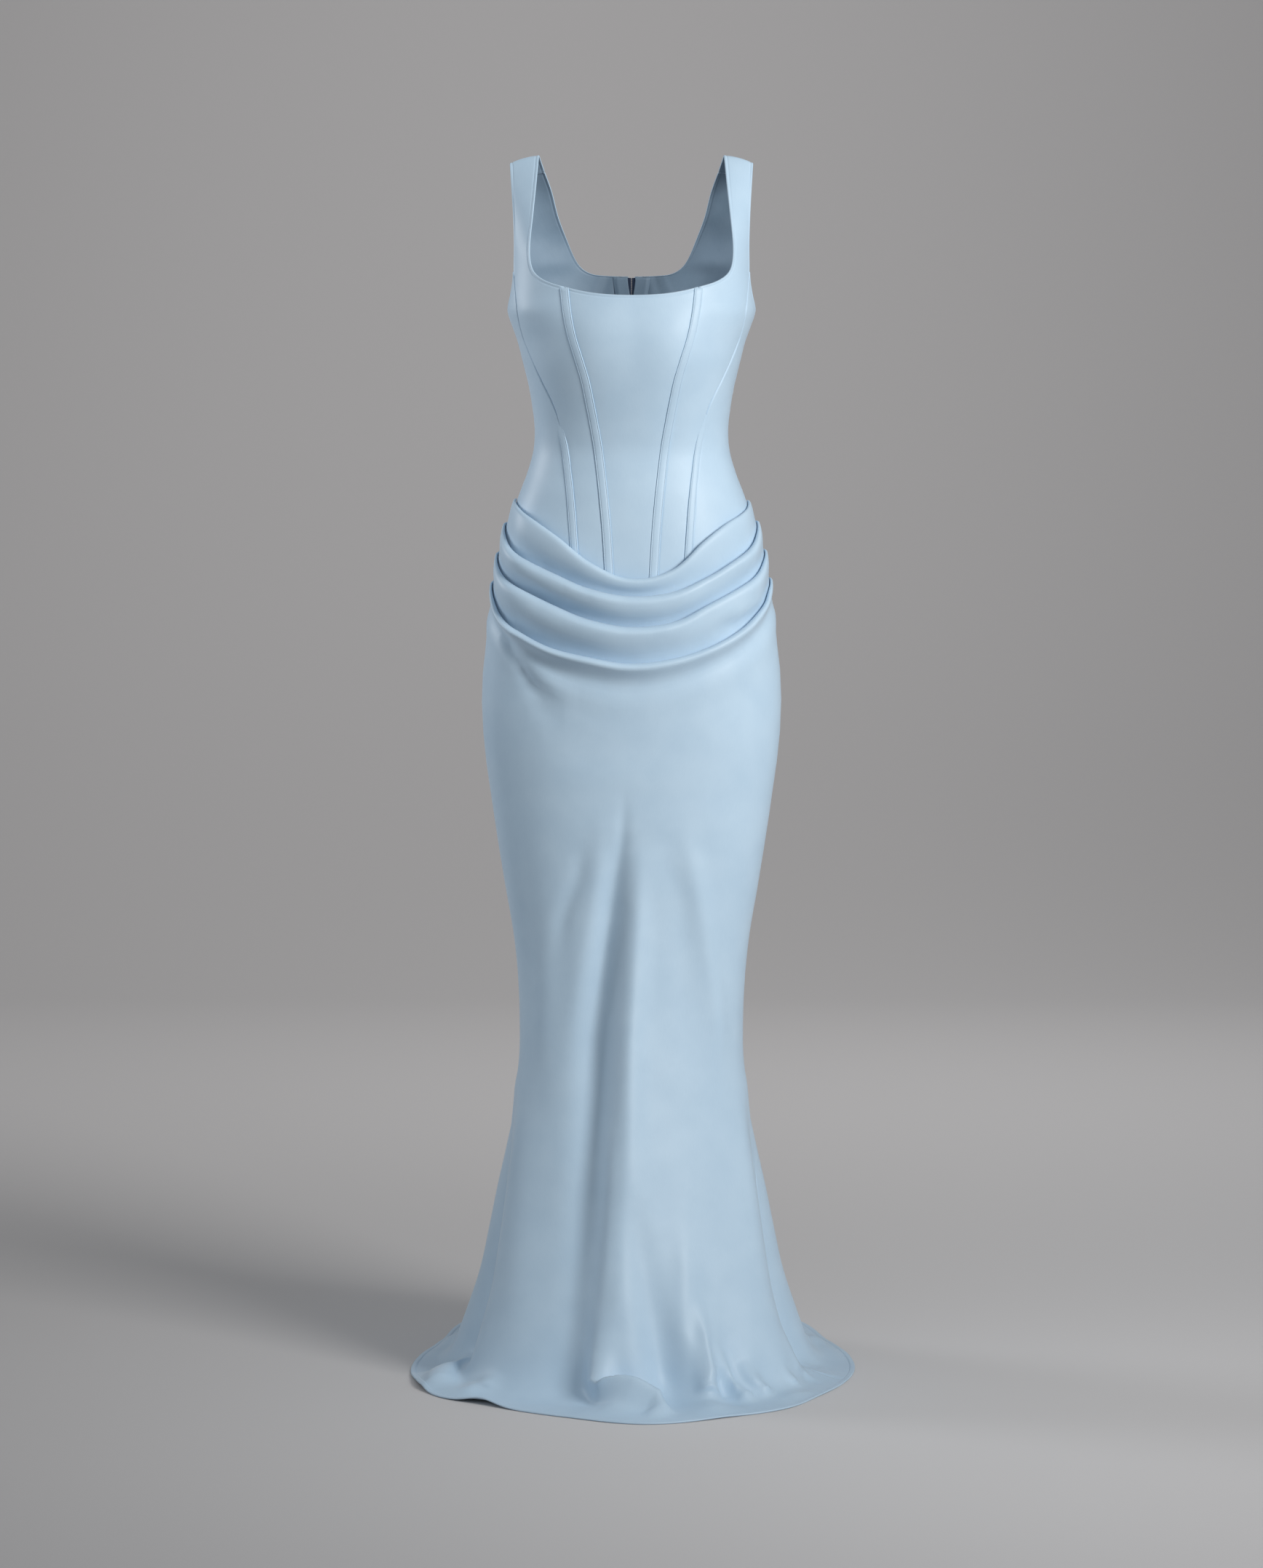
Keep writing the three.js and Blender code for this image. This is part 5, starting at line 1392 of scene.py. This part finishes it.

# %% [markdown]
# ## The studio
#
# Satin shows its form by soft, wide highlights, so the lamps are large squares. A sweep of paper runs
# from the floor up into the wall with no edge. The key light stands at the front right, 0.7 m
# higher than the straps. A weak one at the left, behind, draws a thin rim there, and one high up
# washes the wall. The rest is a grey sky.

# %% The paper sweep's paint, with painted light and shade
# Paper sweep in a pale grey paint, with painted light and shade: painted lighter towards the key light at the
# right, darker at the left, and painted darker on the wall, where the lamps' light falls off.
FLOOR_LEFT_PAINTED_SHADE, FLOOR_RIGHT_PAINTED_LIGHT, WALL_GREY_PAINTED_SHADE = "#C2C0C0", "#E4E2E2", "#9A9898"
SWEEP_WITH_PAINTED_LIGHT, floor_tree = empty_material("sweep_paint_with_painted_light")
floor_place = add_node(floor_tree, "ShaderNodeTexCoord", {}, {})
floor_axes = add_node(floor_tree, "ShaderNodeSeparateXYZ", {}, {"Vector": floor_place.outputs["Object"]})


def slow_step(axis, start, end):
    """Share from 0 to 1 along an axis of the floor, smooth at both ends."""
    step = add_node(floor_tree, "ShaderNodeMapRange", {"interpolation_type": "SMOOTHSTEP"}, {
        "Value": floor_axes.outputs[axis], "From Min": start, "From Max": end})
    return step.outputs["Result"]


def painted_light_mix(share, first, second):
    """Colour between two painted tones of light and shade by a share."""
    mixed = add_node(floor_tree, "ShaderNodeMix", {"data_type": "RGBA"}, {
        "Factor": share, "A": first, "B": second})
    return mixed.outputs["Result"]


# Painted light on the floor: darker at the left, lighter at the right towards the key light.
floor_painted_light = painted_light_mix(slow_step("X", -1.4, 1.4), linear(FLOOR_LEFT_PAINTED_SHADE), linear(FLOOR_RIGHT_PAINTED_LIGHT))
# Painted shade on the sweep: it turns darker up the wall, where the lamps' light falls off.
sweep_painted_light_and_shade = painted_light_mix(slow_step("Y", -0.2, 5.0), floor_painted_light, linear(WALL_GREY_PAINTED_SHADE))
show_surface(floor_tree, {"Base Color": sweep_painted_light_and_shade, "Roughness": 0.85, "Specular IOR Level": 0.2})
print("paints:", FLOOR_LEFT_PAINTED_SHADE, FLOOR_RIGHT_PAINTED_LIGHT, WALL_GREY_PAINTED_SHADE)

# %% The paper sweep
# Where the flat part begins in front and ends behind, the radius of the bend, the wall's top, half the width.
SWEEP_FRONT, SWEEP_FLAT, SWEEP_RADIUS, SWEEP_TOP, SWEEP_HALF = -9000, 3500, 2500, 9000, 14000.0


def sweep_section(count=60):
    """Floor and wall in one: flat to behind the dress, then a quarter circle, then upright."""
    angle = np.linspace(0, np.pi / 2, count)
    bend = [SWEEP_FLAT + SWEEP_RADIUS * np.sin(angle), SWEEP_RADIUS * (1 - np.cos(angle))]
    wall = [SWEEP_FLAT + SWEEP_RADIUS, SWEEP_TOP]
    return np.concatenate([[[SWEEP_FRONT, 0]], np.stack(bend, axis=-1), [wall]])


sweep = sweep_section()
across, row = np.meshgrid([-SWEEP_HALF, SWEEP_HALF], np.arange(len(sweep)))
sweep_points = np.stack([across, sweep[row, 0], sweep[row, 1] - 0.1], axis=-1).reshape(-1, 3)
floor_mesh = bpy.data.meshes.new("studio_floor")
floor_mesh.from_pydata(
    ((sweep_points - [0, 0, SHOULDER_HEIGHT]) / 1000).tolist(), [], quads_of(len(sweep), 2).tolist())
floor_mesh.polygons.foreach_set("use_smooth", np.ones(len(floor_mesh.polygons), bool))
floor_mesh.materials.append(SWEEP_WITH_PAINTED_LIGHT)
floor = bpy.data.objects.new("studio_floor", floor_mesh)
bpy.context.scene.collection.objects.link(floor)
print("the sweep reaches", sweep[-1, 0] / 1000, "m behind the dress")


# %% Lamps
def softbox(name, place, aim, size, power, spread, colour):
    """Square lamp at a place, aimed at a point; its grid keeps the light inside an angle of spread."""
    light = bpy.data.lights.new(name, "AREA")
    light.shape, light.size, light.energy = "SQUARE", size, power
    light.spread, light.color = np.radians(spread), linear(colour)[:3]
    lamp = bpy.data.objects.new(name, light)
    lamp.location = place
    lamp.rotation_euler = (Vector(place) - Vector(aim)).to_track_quat("Z", "Y").to_euler()
    bpy.context.scene.collection.objects.link(lamp)


# Each lamp's place, aim, size in metres, power in watts, spread in degrees and colour.
LAMPS = {
    "key": ((2.3, -2.5, 0.7), (0, 0, -0.3), 1.3, 17, 70, "#FFFDFA"),
    "rim": ((-2.7, 0.9, 0.4), (0, 0, -0.25), 1.0, 4, 56, "#F6FAFF"),
    "wall_wash": ((0, 2.0, 2.8), (0, 6.0, 0.2), 2.5, 112, 150, "#FFFFFF"),
}
for name, settings in LAMPS.items():
    softbox(name, *settings)
world = bpy.data.worlds.new("studio_air")
world.use_nodes = True
world.node_tree.nodes["Background"].inputs["Color"].default_value = linear("#DADDE0")
world.node_tree.nodes["Background"].inputs["Strength"].default_value = 0.5
bpy.context.scene.world = world
print("lamps:", list(LAMPS))

# %% [markdown]
# ## The camera
#
# A photographer stands well back from a long dress, so that its hem and its neckline look equally
# large. The camera is five metres away at about the height of the waist and is turned down a little. A lens
# is known by its focal length over the picture's height, and both may be counted in pixels.

# %% Camera
FOCAL_LENGTH, PICTURE_HEIGHT, SENSOR = 5835, 2155, 36
CAMERA_DISTANCE, CAMERA_HEIGHT, CAMERA_TILT = 5.0, 1080, 4.327
camera_data = bpy.data.cameras.new("camera")
camera_data.sensor_width = SENSOR
camera_data.lens = SENSOR * FOCAL_LENGTH / PICTURE_HEIGHT
camera = bpy.data.objects.new("camera", camera_data)
camera.location = (0, -CAMERA_DISTANCE, (CAMERA_HEIGHT - SHOULDER_HEIGHT) / 1000)
camera.rotation_euler = (np.radians(90 - CAMERA_TILT), 0, 0)
bpy.context.scene.collection.objects.link(camera)
bpy.context.scene.camera = camera
bpy.context.scene.view_settings.view_transform = "Standard"
print("lens:", round(camera_data.lens, 2), "mm")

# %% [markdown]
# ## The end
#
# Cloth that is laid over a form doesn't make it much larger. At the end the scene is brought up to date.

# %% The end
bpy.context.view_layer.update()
